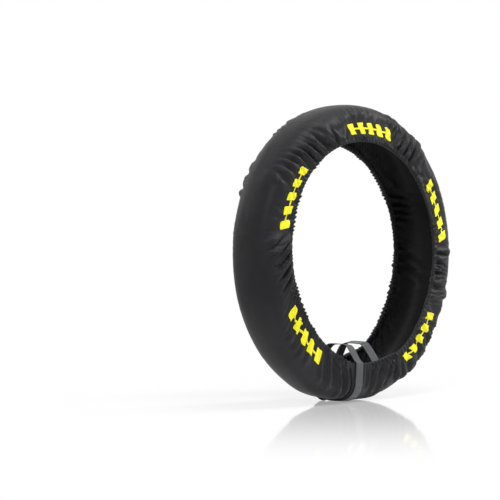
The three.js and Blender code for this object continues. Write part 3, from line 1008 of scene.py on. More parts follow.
@dataclass(frozen=True)
class Finish:
    """A surface finish: a principled shader with woven relief, uneven colour, and painted shade that
    darkens the colour in the grooves between the ribs.
    """

    name: str
    dark: tuple[float, float, float]
    light: tuple[float, float, float]
    roughness: tuple[float, float] = (0.5, 0.62)
    sheen: float = 0.3
    sheen_roughness: float = 0.45
    specular: float = 0.5
    patch_scale: float = 11.0
    crinkle_scale: float = 95.0
    crinkle_depth: float = 0.35 * MM
    ribs_along: float = 0.0
    ribs_across: float = 0.0
    rib_depth: float = 0.08 * MM
    # Painted shade: how much darker the colour is made in the grooves between the ribs.
    groove_shade: float = 0.25
    fuzz_scale: float = 0.0
    fuzz_depth: float = 0.0

    def ribs(self, graph: Graph, uv: Socket, pitch: float, axis: str) -> Socket:
        """A band pattern of a given pitch along one direction of the material.

        Args:
            graph: The material's graph.
            uv: The coordinates in metres.
            pitch: Distance from rib to rib.
            axis: X or Y.

        Returns:
            Numbers from 0 to 1.
        """
        settings = {"wave_type": "BANDS", "bands_direction": axis, "wave_profile": "SIN"}
        values = {"Vector": uv, "Scale": 2 * math.pi / 20 / pitch, "Distortion": 0.0}
        return graph.add("ShaderNodeTexWave", settings, values, "Fac")

    def relief(self, graph: Graph, uv: Socket) -> tuple[Socket, Optional[Socket]]:
        """The normal after the crinkles, the ribs and the fuzz.

        Args:
            graph: The material's graph.
            uv: The coordinates in metres.

        Returns:
            The normal, and the ribs' pattern if the finish has ribs.
        """
        noise = {"Vector": uv, "Scale": self.crinkle_scale, "Detail": 4.0, "Roughness": 0.55}
        crinkle = graph.add("ShaderNodeTexNoise", None, noise, "Fac")
        normal = graph.add("ShaderNodeBump", None, {
            "Strength": 0.9, "Distance": self.crinkle_depth, "Height": crinkle})
        pattern = None
        for pitch, axis in ((self.ribs_along, "X"), (self.ribs_across, "Y")):
            if pitch:
                band = self.ribs(graph, uv, pitch, axis)
                pattern = band if pattern is None else pattern * band
        if pattern is not None:
            normal = graph.add("ShaderNodeBump", None, {
                "Strength": 1.0, "Distance": self.rib_depth, "Height": pattern, "Normal": normal})
        if self.fuzz_scale:
            cells = {"Vector": uv, "Scale": self.fuzz_scale}
            fuzz = graph.add("ShaderNodeTexVoronoi", None, cells, "Distance")
            normal = graph.add("ShaderNodeBump", None, {
                "Strength": 1.0, "Distance": self.fuzz_depth, "Height": fuzz, "Normal": normal})
        return normal, pattern

    def material(self) -> bpy.types.Material:
        """Builds the material.

        Returns:
            The material.
        """
        made = bpy.data.materials.new(self.name)
        made.use_nodes = True
        graph = Graph(made.node_tree)
        uv = graph.add("ShaderNodeUVMap", {"uv_map": "cloth"})
        normal, pattern = self.relief(graph, uv)
        patches = graph.add("ShaderNodeTexNoise", None, {
            "Vector": uv, "Scale": self.patch_scale, "Detail": 5.0, "Roughness": 0.6}, "Fac")
        grain = graph.add("ShaderNodeTexNoise", None, {
            "Vector": uv, "Scale": self.crinkle_scale * 7, "Detail": 2.0}, "Fac")
        tone = patches * 0.7 + grain * 0.3
        colour = graph.add("ShaderNodeValToRGB", {
            "stops": ((0.32, self.dark), (0.68, self.light))}, {"Fac": tone})
        # Painted shade: the colour is darkened where the ribs' relief sinks, in the grooves between
        # them.
        if pattern is not None:
            stops = ((0.0, (1 - self.groove_shade,) * 3), (0.6, (1.0, 1.0, 1.0)))
            shade = graph.add("ShaderNodeValToRGB", {"stops": stops}, {"Fac": pattern})
            colour = graph.add("ShaderNodeMix", {"data_type": "RGBA", "blend_type": "MULTIPLY"}, {
                "Factor": 1.0, 6: colour, 7: shade}, 2)
        low, high = self.roughness
        rough = patches * (2 * (high - low)) + (low - (high - low) / 2)
        surface = graph.add("ShaderNodeBsdfPrincipled", None, {
            "Base Color": colour, "Roughness": rough, "Normal": normal,
            "Specular IOR Level": self.specular, "Sheen Weight": self.sheen,
            "Sheen Roughness": self.sheen_roughness})
        graph.add("ShaderNodeOutputMaterial", None, {"Surface": surface})
        return made


CLOTH = Finish("black_coated_cloth", (0.023, 0.023, 0.025), (0.037, 0.037, 0.0395),
               (0.36, 0.48), 0.04, 0.4, 0.08,
               ribs_along=0.9 * MM, ribs_across=0.9 * MM, rib_depth=0.05 * MM, groove_shade=0.3)
WEBBING = Finish("ribbed_webbing", (0.045, 0.048, 0.053), (0.07, 0.073, 0.081),
                 (0.36, 0.46), 0.2, 0.35, 0.3,
                 crinkle_depth=0.12 * MM, ribs_along=1.5 * MM, ribs_across=0.0, rib_depth=0.2 * MM)
BINDING = Finish("grosgrain_binding", (0.006, 0.006, 0.007), (0.012, 0.012, 0.013),
                 (0.6, 0.75), 0.04, 0.5, 0.12,
                 crinkle_depth=0.15 * MM, ribs_along=1.1 * MM, rib_depth=0.15 * MM)
HOOKS = Finish("hook_and_loop_tape", (0.01, 0.01, 0.011), (0.02, 0.02, 0.022),
               (0.85, 0.95), 0.5, 0.6,
               crinkle_depth=0.1 * MM, fuzz_scale=900.0, fuzz_depth=0.5 * MM)
ELASTIC = Finish("ribbed_elastic", (0.022, 0.022, 0.022), (0.038, 0.038, 0.038),
                 (0.7, 0.85), 0.3, 0.5,
                 crinkle_depth=0.1 * MM, ribs_across=1.2 * MM, rib_depth=0.25 * MM)
FILM = Finish("pressed_yellow_film", (0.93, 0.86, 0.008), (0.98, 0.93, 0.02),
              (0.4, 0.5), 0.0, 0.5, 0.3,
              crinkle_depth=0.12 * MM, ribs_along=0.9 * MM, ribs_across=0.9 * MM,
              rib_depth=0.03 * MM, groove_shade=0.04)
THREAD = Finish("black_thread", (0.016, 0.016, 0.018), (0.028, 0.028, 0.03),
                (0.5, 0.6), 0.05, 0.4, 0.2,
                crinkle_depth=0.05 * MM)


@dataclass
class StitchRows:
    """Sewn thread laid along lines by Geometry Nodes, one small rounded stitch after another."""

    spacing: float = 3.6 * MM
    length: float = 2.7 * MM
    radius: float = 0.36 * MM
    seed: int = 5

    def tree(self, thread: bpy.types.Material) -> bpy.types.NodeTree:
        """Builds the tree.

        Args:
            thread: The thread's material.

        Returns:
            The node tree, with its sizes as named inputs.
        """
        tree = bpy.data.node_groups.new("stitch_rows", "GeometryNodeTree")
        graph = Graph(tree)
        face = tree.interface
        face.new_socket("Geometry", in_out="INPUT", socket_type="NodeSocketGeometry")
        for name in ("Spacing", "Stitch Length", "Thread Radius"):
            face.new_socket(name, in_out="INPUT", socket_type="NodeSocketFloat")
        face.new_socket("Seed", in_out="INPUT", socket_type="NodeSocketInt")
        face.new_socket("Geometry", in_out="OUTPUT", socket_type="NodeSocketGeometry")
        source = tree.nodes.new("NodeGroupInput")
        given = {name: Socket(graph, source.outputs[name])
                 for name in ("Geometry", "Spacing", "Stitch Length", "Thread Radius", "Seed")}
        line = graph.add("GeometryNodeMeshToCurve", None, {"Mesh": given["Geometry"]})
        line = graph.add("GeometryNodeResampleCurve", {"mode": "LENGTH"}, {
            "Curve": line, "Length": given["Spacing"]})
        tangent = graph.add("GeometryNodeInputTangent")
        lift = graph.add("GeometryNodeInputNamedAttribute", {"data_type": "FLOAT_VECTOR"},
                         {"Name": "outwards"})
        turn = graph.add("FunctionNodeAxesToRotation",
                         {"primary_axis": "X", "secondary_axis": "Z"}, {0: tangent, 1: lift})
        uneven = graph.add("FunctionNodeRandomValue", {"data_type": "FLOAT"}, {
            "Min": 0.88, "Max": 1.1, "Seed": given["Seed"]}, 1)
        half = given["Stitch Length"] * 0.5 * uneven
        size = graph.add("ShaderNodeCombineXYZ", None, {
            "X": half, "Y": given["Thread Radius"], "Z": given["Thread Radius"]})
        stitch = graph.add("GeometryNodeMeshUVSphere", None,
                           {"Segments": 6, "Rings": 5, "Radius": 1.0})
        placed = graph.add("GeometryNodeInstanceOnPoints", None, {
            "Points": line, "Instance": stitch, "Rotation": turn, "Scale": size})
        real = graph.add("GeometryNodeRealizeInstances", None, {"Geometry": placed})
        smooth = graph.add("GeometryNodeSetShadeSmooth", None, {"Geometry": real})
        done = graph.add("GeometryNodeSetMaterial", None, {"Geometry": smooth, "Material": thread})
        graph.add("NodeGroupOutput", None, {"Geometry": done})
        return tree

    def sew(self, name: str, lines: Sequence[tuple[Array, Array]], tree: bpy.types.NodeTree,
            thread: bpy.types.Material) -> bpy.types.Object:
        """Sews stitches along lines.

        Args:
            name: The piece's name.
            lines: Pairs of points and outward directions, each one line.
            tree: The stitching tree.
            thread: The thread's material.

        Returns:
            A plain mesh of all the stitches.
        """
        data = bpy.data.meshes.new(name)
        points = np.concatenate([line for line, _ in lines])
        normals = np.concatenate([normal for _, normal in lines]).astype(np.float32)
        edges, start = [], 0
        for line, _ in lines:
            edges += [(start + k, start + k + 1) for k in range(len(line) - 1)]
            start += len(line)
        data.from_pydata(points.tolist(), edges, [])
        outwards = data.attributes.new("outwards", "FLOAT_VECTOR", "POINT")
        outwards.data.foreach_set("vector", normals.ravel())
        made = bpy.data.objects.new(name, data)
        bpy.context.scene.collection.objects.link(made)
        modifier = made.modifiers.new("Stitches", "NODES")
        modifier.node_group = tree
        sizes = {"Spacing": self.spacing, "Stitch Length": self.length,
                 "Thread Radius": self.radius, "Seed": self.seed}
        for item in tree.interface.items_tree:
            if item.in_out == "INPUT" and item.name in sizes:
                modifier[item.identifier] = sizes[item.name]
        graph = bpy.context.evaluated_depsgraph_get()
        found = bpy.data.meshes.new_from_object(made.evaluated_get(graph), depsgraph=graph)
        made.modifiers.clear()
        made.data = found
        found.name = name
        bpy.data.meshes.remove(data)
        found.materials.clear()
        found.materials.append(thread)
        if "cloth" not in found.uv_layers:
            found.uv_layers.new(name="cloth")
        return made


@dataclass
class Sleeve:
    """The cloth strip itself: outer face, turned hems with their casings, and inner face."""

    surface: ClothSurface
    columns: int = 1000
    thickness: float = 0.9 * MM
    casing_height: float = 13 * MM
    casing_depth: float = 4.1 * MM
    outer_steps: tuple[float, ...] = (
        3, 5.5, 8.5, 12, 16, 20, 24.5, 29, 34, 39.5, 45, 51, 57.5, 64, 71,
        78, 85.5, 93, 101, 109.5, 118.5, 128)
    inner_steps: tuple[float, ...] = (15.5, 21, 28, 36, 45, 55, 66, 78, 91, 105, 120)

    def fold_rows(self) -> list[tuple[float, float, float]]:
        """One hem's fold and flap, from the outer face round to the inner one.

        Returns:
            For each row: height above the hem, depth under the outer face, share of the ruching.
        """
        wall, depth, top = self.thickness, self.casing_depth, self.casing_height
        rows = [(1.2 * MM, 0.15 * MM, 0.95), (0.1 * MM, 1.0 * MM, 0.8),
                (-0.3 * MM, depth / 2, 0.35), (0.1 * MM, depth - 1.0 * MM, -0.3),
                (1.4 * MM, depth - 0.1 * MM, -0.6)]
        rows += [(4 * MM, depth, -0.8), (8.5 * MM, depth, -0.7), (top, depth, -0.5)]
        rows += [(top, depth - wall, -0.5), (6 * MM, depth - wall, -0.7),
                 (2.2 * MM, depth - wall, -0.6)]
        rows += [(1.0 * MM, depth / 2, 0.3), (2.2 * MM, wall, 0.9), (9 * MM, wall, 1.0)]
        return rows

    def row_points(self, along: Array, height: float, depth: float, puckers: float,
                   side: int) -> Array:
        """One row of the fold.

        Args:
            along: Shares of the strip's length.
            height: Height above the hem.
            depth: Depth under the outer face.
            puckers: Share of the ruching, under 0 where it is pressed inwards.
            side: -1 on the front and 1 on the back.

        Returns:
            The row's points.
        """
        shape, gathers = self.surface.shape, self.surface.gathers
        low = max(height, 0.0)
        share = float(shape.share_at_height(low))
        angle = shape.angle_on_strip(along, share)
        ruche = gathers.ruche(along, np.full_like(along, low), side)
        point = shape.place(angle, share, side, puckers * ruche - depth)
        if height < 0:
            cos, sin = np.cos(angle), np.sin(angle)
            point = point + height * np.stack([cos, 0 * cos, sin], -1)
        return point

    def face(self) -> ClothFace:
        """The outer face in the shell's own rows and columns.

        Returns:
            The face.
        """
        half = self.surface.shape.half_cut
        outer = [1 - step * MM / half for step in self.outer_steps]
        down = np.array([-place for place in outer] + [0.0] + outer[::-1])
        along = np.linspace(0, 1, self.columns)
        return ClothFace(along, down, self.surface.points(along[None, :], down[:, None]))

    def build(self, material: bpy.types.Material) -> bpy.types.Object:
        """Builds the closed shell.

        Args:
            material: The cloth's material.

        Returns:
            The piece.
        """
        half = self.surface.shape.half_cut
        along = np.linspace(0, 1, self.columns)
        outer = [1 - step * MM / half for step in self.outer_steps]
        inner = [1 - step * MM / half for step in self.inner_steps]
        rows, across = [], []

        def lay(down: float, lift: float) -> None:
            """Adds a row of the outer or inner face."""
            rows.append(self.surface.points(along, np.full_like(along, down), lift))
            across.append(down * half)

        def turn(side: int, order: Sequence[tuple[float, float, float]]) -> None:
            """Adds the rows of one hem."""
            for height, depth, puckers in order:
                rows.append(self.row_points(along, height, depth, puckers, side))
                across.append(side * (half + depth - height))

        for down in outer:
            lay(-down, 0.0)
        lay(0.0, 0.0)
        for down in reversed(outer):
            lay(down, 0.0)
        turn(1, self.fold_rows())
        for down in inner:
            lay(down, -self.thickness)
        lay(0.0, -self.thickness)
        for down in reversed(inner):
            lay(-down, -self.thickness)
        turn(-1, self.fold_rows()[::-1])
        loops = np.stack(rows, 1)
        uvs = np.stack(np.broadcast_arrays(along[:, None] * self.surface.shape.cut_length,
                                           np.array(across)[None, :]), -1)
        made = self.shell(loops, uvs)
        made.data.materials.append(material)
        return made

    def shell(self, loops: Array, uvs: Array) -> bpy.types.Object:
        """A closed shell from the loops of rows, with its two ends closed between the faces.

        Args:
            loops: Columns by rows of points.
            uvs: The same of two numbers.

        Returns:
            The piece.
        """
        count, size, _ = loops.shape
        i, j = np.arange(count - 1)[:, None], np.arange(size)[None, :]
        a, b = i * size + j, i * size + (j + 1) % size
        faces = np.stack([a, b, b + size, a + size], -1).reshape(-1, 4)
        points = loops.reshape(-1, 3)
        flip = Mesher.volume(points, faces) < 0
        if flip:
            faces = faces[:, ::-1]
        made = Mesher.mesh("sleeve_cloth", points, faces, uvs.reshape(-1, 2))
        self.close_ends(made)
        return made

    @staticmethod
    def close_ends(made: bpy.types.Object) -> None:
        """Fills the open ends of the shell.

        Args:
            made: The shell.
        """
        work = bmesh.new()
        work.from_mesh(made.data)
        edges = [edge for edge in work.edges if edge.is_boundary]
        filled = bmesh.ops.triangle_fill(work, edges=edges, use_beauty=True)
        work.normal_update()
        faces = [item for item in filled["geom"] if isinstance(item, bmesh.types.BMFace)]
        bmesh.ops.recalc_face_normals(work, faces=work.faces)
        if work.calc_volume(signed=True) < 0:
            bmesh.ops.reverse_faces(work, faces=work.faces)
        log.info("sleeve ends closed with %d faces", len(faces))
        work.to_mesh(made.data)
        work.free()


@dataclass
class EndBinding:
    """A folded tape sewn over one end of the strip."""

    surface: ClothSurface
    name: str
    at_left: bool
    width: float = 9 * MM
    thickness: float = 0.9 * MM
    steps: int = 120
    end_margin: float = 14.4 * MM
    thread_margin: float = 15 * MM

    def outline(self) -> list[tuple[float, float]]:
        """The tape's section: distance from the cloth's edge and lift, outside first.

        Returns:
            A loop whose second half runs back along the first.
        """
        wall, low, high, edge = self.thickness, -1.2 * MM, 0.3 * MM, -0.3 * MM
        outside = [(self.width, high + wall), (self.width * 0.5, high + wall * 1.05),
                   (0.6 * MM, high + wall), (edge - wall * 0.7, high + wall * 0.5),
                   (edge - wall, (high + low) / 2),
                   (edge - wall * 0.7, low - wall * 0.5), (0.6 * MM, low - wall),
                   (self.width * 0.5, low - wall * 1.05), (self.width, low - wall)]
        inside = [(self.width, low), (self.width * 0.5, low), (0.6 * MM, low), (edge, low),
                  (edge, (high + low) / 2), (edge, high), (0.6 * MM, high),
                  (self.width * 0.5, high), (self.width, high)]
        return outside + inside

    def along(self, distance: Array, down: Array) -> Array:
        """The strip share at a distance from this end.

        Args:
            distance: Distances from the cloth's edge.
            down: Places from hem to hem.

        Returns:
            Shares of the strip's length.
        """
        shape = self.surface.shape
        share = shape.share_at(np.abs(down) * shape.half_cut)
        _, r, _, _ = shape.section(share)
        first, last = shape.end_angles(share)
        part = distance / r / (last - first)
        return 1 - part if self.at_left else part

    def line(self, distance: float, lift: float) -> tuple[Array, Array]:
        """A line along the tape, for stitches.

        Args:
            distance: Distance from the cloth's edge.
            lift: Lift over the cloth.

        Returns:
            Points and outward directions.
        """
        limit = 1 - self.thread_margin / self.surface.shape.half_cut
        down = np.linspace(-limit, limit, 160)
        along = self.along(distance, down)
        return self.surface.points(along, down, lift), self.surface.frame_at(along, down)[2]

    def build(self, material: bpy.types.Material) -> bpy.types.Object:
        """Builds the tape.

        Args:
            material: Its material.

        Returns:
            The piece.
        """
        limit = 1 - self.end_margin / self.surface.shape.half_cut
        down = np.linspace(-limit, limit, self.steps)
        outline = self.outline()
        loops = np.stack([self.surface.points(self.along(distance, down), down, lift)
                          for distance, lift in outline], 1)
        across = np.array([distance if k < len(outline) // 2 else -distance
                           for k, (distance, _) in enumerate(outline)])
        lengths = down[:, None] * self.surface.shape.half_cut
        uvs = np.stack(np.broadcast_arrays(lengths, across[None, :]), -1)
        made = Mesher.ring(self.name, loops, closed=False, uvs=uvs)
        made.data.materials.append(material)
        return made


class Path:
    """Paths of the straps in the plane across the tyre, as distance along the axle and radius."""

    def __init__(self, shape: CoverShape) -> None:
        """Keeps the sizes of the rim and of the straps' layers.

        Args:
            shape: The cover's shape.
        """
        self.shape = shape
        self.thickness = 1.5 * MM
        self.patch = 1.2 * MM
        self.clear = 0.3 * MM
        self.lift = 1.6 * MM + self.thickness / 2
        self.lap_step = self.thickness + 2 * self.patch + 3 * self.clear
        self.lap = (0.38, 0.88)
        self.lip = (34 * MM, shape.hem_radius - 34 * MM)
        self.bed = (20 * MM, shape.hem_radius - 41 * MM)
        self.casing = 4.2 * MM

    def beside(self, share: Array, side: int, lift: Array) -> Array:
        """Points beside the smooth cloth.

        Args:
            share: Places on the section.
            side: -1 on the front and 1 on the back.
            lift: Distances from the cloth.

        Returns:
            Points of the plane.
        """
        y, r, ny, nr = self.shape.section(share)
        return np.stack([side * (y + ny * lift), r + nr * lift], -1)

    def over_rim(self) -> Array:
        """The path over the rim, from front to back."""
        (lip_y, lip_r), (bed_y, bed_r) = self.lip, self.bed
        between = [(lip_y + bed_y) / 2, bed_r + (lip_r - bed_r) * 0.3]
        half = np.array([[bed_y, bed_r], between, [lip_y, lip_r]])
        return np.concatenate([(half * (-1, 1))[::-1], half])

    def hem_turn(self, side: int) -> Array:
        """The path round one hem's fold, towards the rim.

        Args:
            side: -1 on the front and 1 on the back.

        Returns:
            Points of the plane.
        """
        clear = self.clear + self.thickness / 2
        width, radius = self.shape.hem_half_width, self.shape.hem_radius
        return np.array([[side * (width + self.lift), radius + clear / 2],
                         [side * (width + self.lift / 2), radius - 2 * clear],
                         [side * (width - self.casing), radius - 3 * clear]])

    def closure(self) -> Array:
        """The closing strap: under its lap, over the crown, round both hems, over the rim."""
        upper = np.linspace(1, 0, 26)
        under = self.beside(upper, 1, self.lift)
        front = self.beside(np.linspace(0.04, 1.85, 46), -1, self.lift)
        rise = np.linspace(1.75, 1.05, 10)
        step = self.lap_step * smoothstep(-rise, -1.75, -1.1)
        back = self.beside(rise, 1, self.lift + step)
        lap = self.beside(np.linspace(1.0, self.lap[0] - 0.1, 18), 1, self.lift + self.lap_step)
        return np.concatenate([under, front, self.hem_turn(-1), self.over_rim(),
                               self.hem_turn(1)[::-1], back, lap])

    def closure_patch(self, lift: float) -> Array:
        """A hook-and-loop patch of the closing strap.

        Args:
            lift: Distance of its middle from the cloth.

        Returns:
            Points of the plane.
        """
        return self.beside(np.linspace(*self.lap, 20), 1, lift)

    def sewn(self, side: int) -> Array:
        """The short strap's end that is sewn inside a casing.

        Args:
            side: -1 on the front and 1 on the back.

        Returns:
            Points of the plane.
        """
        lift = -(self.casing + self.clear + self.thickness / 2)
        return self.beside(self.shape.share_at_height(np.array([11, 6, 1.2]) * MM), side, lift)

    def lap_point(self, along: float, lift: float) -> Array:
        """A place on the short strap's lap, from the back lip of the rim towards the back hem.

        Args:
            along: Distance from the lip.
            lift: Distance from the tail.

        Returns:
            A point of the plane.
        """
        start = np.array(self.lip)
        heading = self.sewn(1)[-1] - start
        heading /= np.linalg.norm(heading)
        return start + heading * along + np.array([heading[1], -heading[0]]) * lift

    def short(self) -> Array:
        """The short strap, from the front hem over the rim onto its lap."""
        ends = [self.lap_point(3 * MM, self.lap_step), self.lap_point(30 * MM, self.lap_step)]
        return np.concatenate([self.sewn(-1), self.over_rim()[:-1], ends])

    def tail(self) -> Array:
        """The short strap's tail, from the back hem to the rim's lip."""
        return np.concatenate([self.sewn(1), [self.lap_point(0, 0)]])

    def short_patch(self, lift: float) -> Array:
        """A hook-and-loop patch of the short strap.

        Args:
            lift: Distance of its middle from the tail.

        Returns:
            Points of the plane.
        """
        return np.stack([self.lap_point(3 * MM, lift), self.lap_point(30 * MM, lift)])


@dataclass
class Band:
    """A flat woven band along a path in a plane across the tyre."""

    name: str
    node: str
    path: Array
    angle: float
    slot: str
    width: float = 25 * MM
    thickness: float = 1.5 * MM
    rounding: int = 3
    wave: float = 0.25 * MM
    seed: int = 1

    def smooth_path(self) -> Array:
        """The path with its corners rounded, in even steps.

        Returns:
            Points of the plane.
        """
        path = self.path
        for _ in range(self.rounding):
            if len(path) < 3:
                break
            near = path[:-1] * 0.75 + path[1:] * 0.25
            far = path[:-1] * 0.25 + path[1:] * 0.75
            inner = np.stack([near, far], 1).reshape(-1, 2)[1:-1]
            path = np.concatenate([path[:1], inner, path[-1:]])
        length = np.concatenate([[0], np.cumsum(np.linalg.norm(np.diff(path, axis=0), axis=1))])
        count = max(int(length[-1] / (2.2 * MM)), 8)
        even = np.linspace(0, length[-1], count)
        return np.stack([np.interp(even, length, path[:, k]) for k in range(2)], 1)

    def frames(self) -> tuple[Array, Array, Array, Array]:
        """The path in space with its directions.

        Returns:
            Points, directions off the flat of the band, the direction across it, and lengths.
        """
        path = self.smooth_path()
        heading = np.gradient(path, axis=0)
        heading /= np.linalg.norm(heading, axis=1, keepdims=True)
        normal = np.stack([-heading[:, 1], heading[:, 0]], 1)
        out = np.array([math.cos(self.angle), 0, math.sin(self.angle)])
        axle = np.array([0.0, 1.0, 0.0])
        place = lambda plane: plane[:, :1] * axle + plane[:, 1:] * out
        length = np.concatenate([[0], np.cumsum(np.linalg.norm(np.diff(path, axis=0), axis=1))])
        return place(path), place(normal), np.cross(axle, out), length

    def face_line(self, across: float, start: float, end: float,
                  lift: float) -> tuple[Array, Array]:
        """A line on the band's face, for stitches.

        Args:
            across: Distance from the band's middle.
            start: Where it starts, from the path's start.
            end: Where it ends.
            lift: Distance from the band's middle layer, with its sign.

        Returns:
            Points and outward directions.
        """
        point, normal, side, length = self.frames()
        at = np.linspace(start, end, max(int(abs(end - start) / MM), 6))
        pick = lambda values: np.stack([np.interp(at, length, values[:, k]) for k in range(3)], 1)
        sign = math.copysign(1, lift)
        return pick(point) + pick(normal) * lift + side * across, pick(normal) * sign

    def cross_line(self, at: float, half: float, lift: float) -> tuple[Array, Array]:
        """A line across the band's face, for stitches.

        Args:
            at: Distance along the path.
            half: Half the line's length.
            lift: Distance from the band's middle layer, with its sign.

        Returns:
            Points and outward directions.
        """
        point, normal, side, length = self.frames()
        pick = lambda values: np.array([np.interp(at, length, values[:, k]) for k in range(3)])
        across = np.linspace(-half, half, 12)[:, None]
        middle, out = pick(point) + pick(normal) * lift, pick(normal) * math.copysign(1, lift)
        return middle + side * across, np.broadcast_to(out, (12, 3))

    def build(self, material: bpy.types.Material) -> bpy.types.Object:
        """Builds the band.

        Args:
            material: Its material.

        Returns:
            The piece.
        """
        point, normal, side, length = self.frames()
        noise = SmoothNoise(self.seed)
        half, wall = self.width / 2, self.thickness / 2
        inner = half - 0.7 * MM
        top = [(-half, 0.0), (-half + 0.2 * MM, wall * 0.75), (-inner, wall),
               (-inner / 2, wall * 0.94), (0.0, wall * 0.92), (inner / 2, wall * 0.94),
               (inner, wall), (half - 0.2 * MM, wall * 0.75)]
        outline = top + [(-x, -z) for x, z in top]
        loops = []
        for across, lift in outline:
            sway = self.wave * noise(length / 0.03 + 7, across / 0.02)[:, None]
            loops.append(point + side * (across + 0.3 * self.wave * noise(length / 0.05)[:, None])
                         + normal * (lift + 0.4 * sway))
        loops = np.stack(loops, 1)
        across = np.array([x if k < len(top) else x + self.width * 2
                           for k, (x, _) in enumerate(outline)])
        uvs = np.stack(np.broadcast_arrays(length[:, None], across[None, :]), -1)
        made = self.capped(loops, uvs, len(top))
        made.data.materials.append(material)
        return made

    def capped(self, loops: Array, uvs: Array, half: int) -> bpy.types.Object:
        """The band's closed mesh.

        Args:
            loops: Steps by points of the section.
            uvs: The same of two numbers.
            half: Points on one face of the section.

        Returns:
            The object.
        """
        order = np.roll(np.arange(2 * half), -1)
        return Mesher.ring(self.name, loops[:, order], closed=False, uvs=uvs[:, order])


@dataclass
class PrintedMark:
    """One heat-pressed mark: slanted bars joined by a thin line, in film that follows the cloth."""

    surface: ClothSurface
    face: ClothFace
    name: str
    middle: float
    length: float = 152 * MM
    height: float = 27 * MM
    middle_height: float = 32 * MM
    bars: int = 5
    bar_share: float = 0.58
    line_share: float = 0.16
    slant: float = math.radians(20)
    corner: float = 1.8 * MM
    lift: float = 0.22 * MM
    film: float = 0.3 * MM

    def patch(self, start: float, end: float, low: float, high: float, corner: float,
              lift: float) -> tuple[Array, Array, Array]:
        """A closed piece of film between two slanted edges.

        Args:
            start: Where it starts along the mark.
            end: Where it ends.
            low: Its lower edge, from the mark's middle.
            high: Its upper edge.
            corner: Radius of its corners.
            lift: Distance of its under side from the cloth.

        Returns:
            Points, faces and coordinates in metres.
        """
        columns = max(int((end - start) / (1.3 * MM)), 3)
        rows = max(int((high - low) / (1.3 * MM)), 3)
        up = np.linspace(low, high, rows + 1)[:, None]
        t = np.linspace(0, 1, columns + 1)[None, :]
        into = np.maximum(np.abs(up - (low + high) / 2) - (high - low) / 2 + corner, 0)
        inset = corner - np.sqrt(np.maximum(corner**2 - into**2, 0)) if corner else 0 * up
        x = (start + inset) * (1 - t) + (end - inset) * t + up * math.tan(self.slant)
        shape = self.surface.shape
        share = shape.share_at_height(self.middle_height + up)
        radius = shape.hem_radius + self.middle_height
        angle = self.middle + x / radius
        along = shape.strip_share(angle, share)
        cut = np.interp(share, shape.table[0], shape.table[1])
        down = -np.broadcast_to(cut / shape.half_cut, along.shape)
        top = self.face.at(along, down, lift + self.film)
        under = self.face.at(along, down, lift)
        count = (rows + 1) * (columns + 1)
        points = np.concatenate([top.reshape(-1, 3), under.reshape(-1, 3)])
        faces = [Mesher.grid_faces(rows + 1, columns + 1),
                 Mesher.grid_faces(rows + 1, columns + 1, count, flip=True)]
        number = np.arange(count).reshape(rows + 1, columns + 1)
        rim = np.concatenate([number[0, :], number[1:, -1], number[-1, -2::-1],
                              number[-2:0:-1, 0]])
        after = np.roll(rim, -1)
        faces.append(np.stack([after, rim, rim + count, after + count], 1))
        uv = np.stack([x, np.broadcast_to(up, x.shape)], -1).reshape(-1, 2)
        return points, np.concatenate(faces), np.concatenate([uv, uv])

    def build(self, material: bpy.types.Material) -> bpy.types.Object:
        """Builds the mark.

        Args:
            material: The film's material.

        Returns:
            The piece.
        """
        pitch = self.length / (self.bars - 1 + self.bar_share)
        half, line = self.height / 2, self.height * self.line_share / 2
        pieces = []
        for bar in range(self.bars):
            start = bar * pitch - self.length / 2
            end = start + pitch * self.bar_share
            pieces.append(self.patch(start, end, -half, half, self.corner, self.lift))
            if bar < self.bars - 1:
                tuck = 0.4 * MM
                pieces.append(self.patch(end - tuck, start + pitch + tuck, -line, line, 0.0,
                                         self.lift - 0.05 * MM))
        points, faces, uvs, start = [], [], [], 0
        for piece_points, piece_faces, piece_uvs in pieces:
            if Mesher.volume(piece_points, piece_faces) < 0:
                piece_faces = piece_faces[:, ::-1]
            points.append(piece_points)
            faces.append(piece_faces + start)
            uvs.append(piece_uvs)
            start += len(piece_points)
        made = Mesher.mesh(self.name, np.concatenate(points), np.concatenate(faces),
                           np.concatenate(uvs))
        made.data.materials.append(material)
        return made


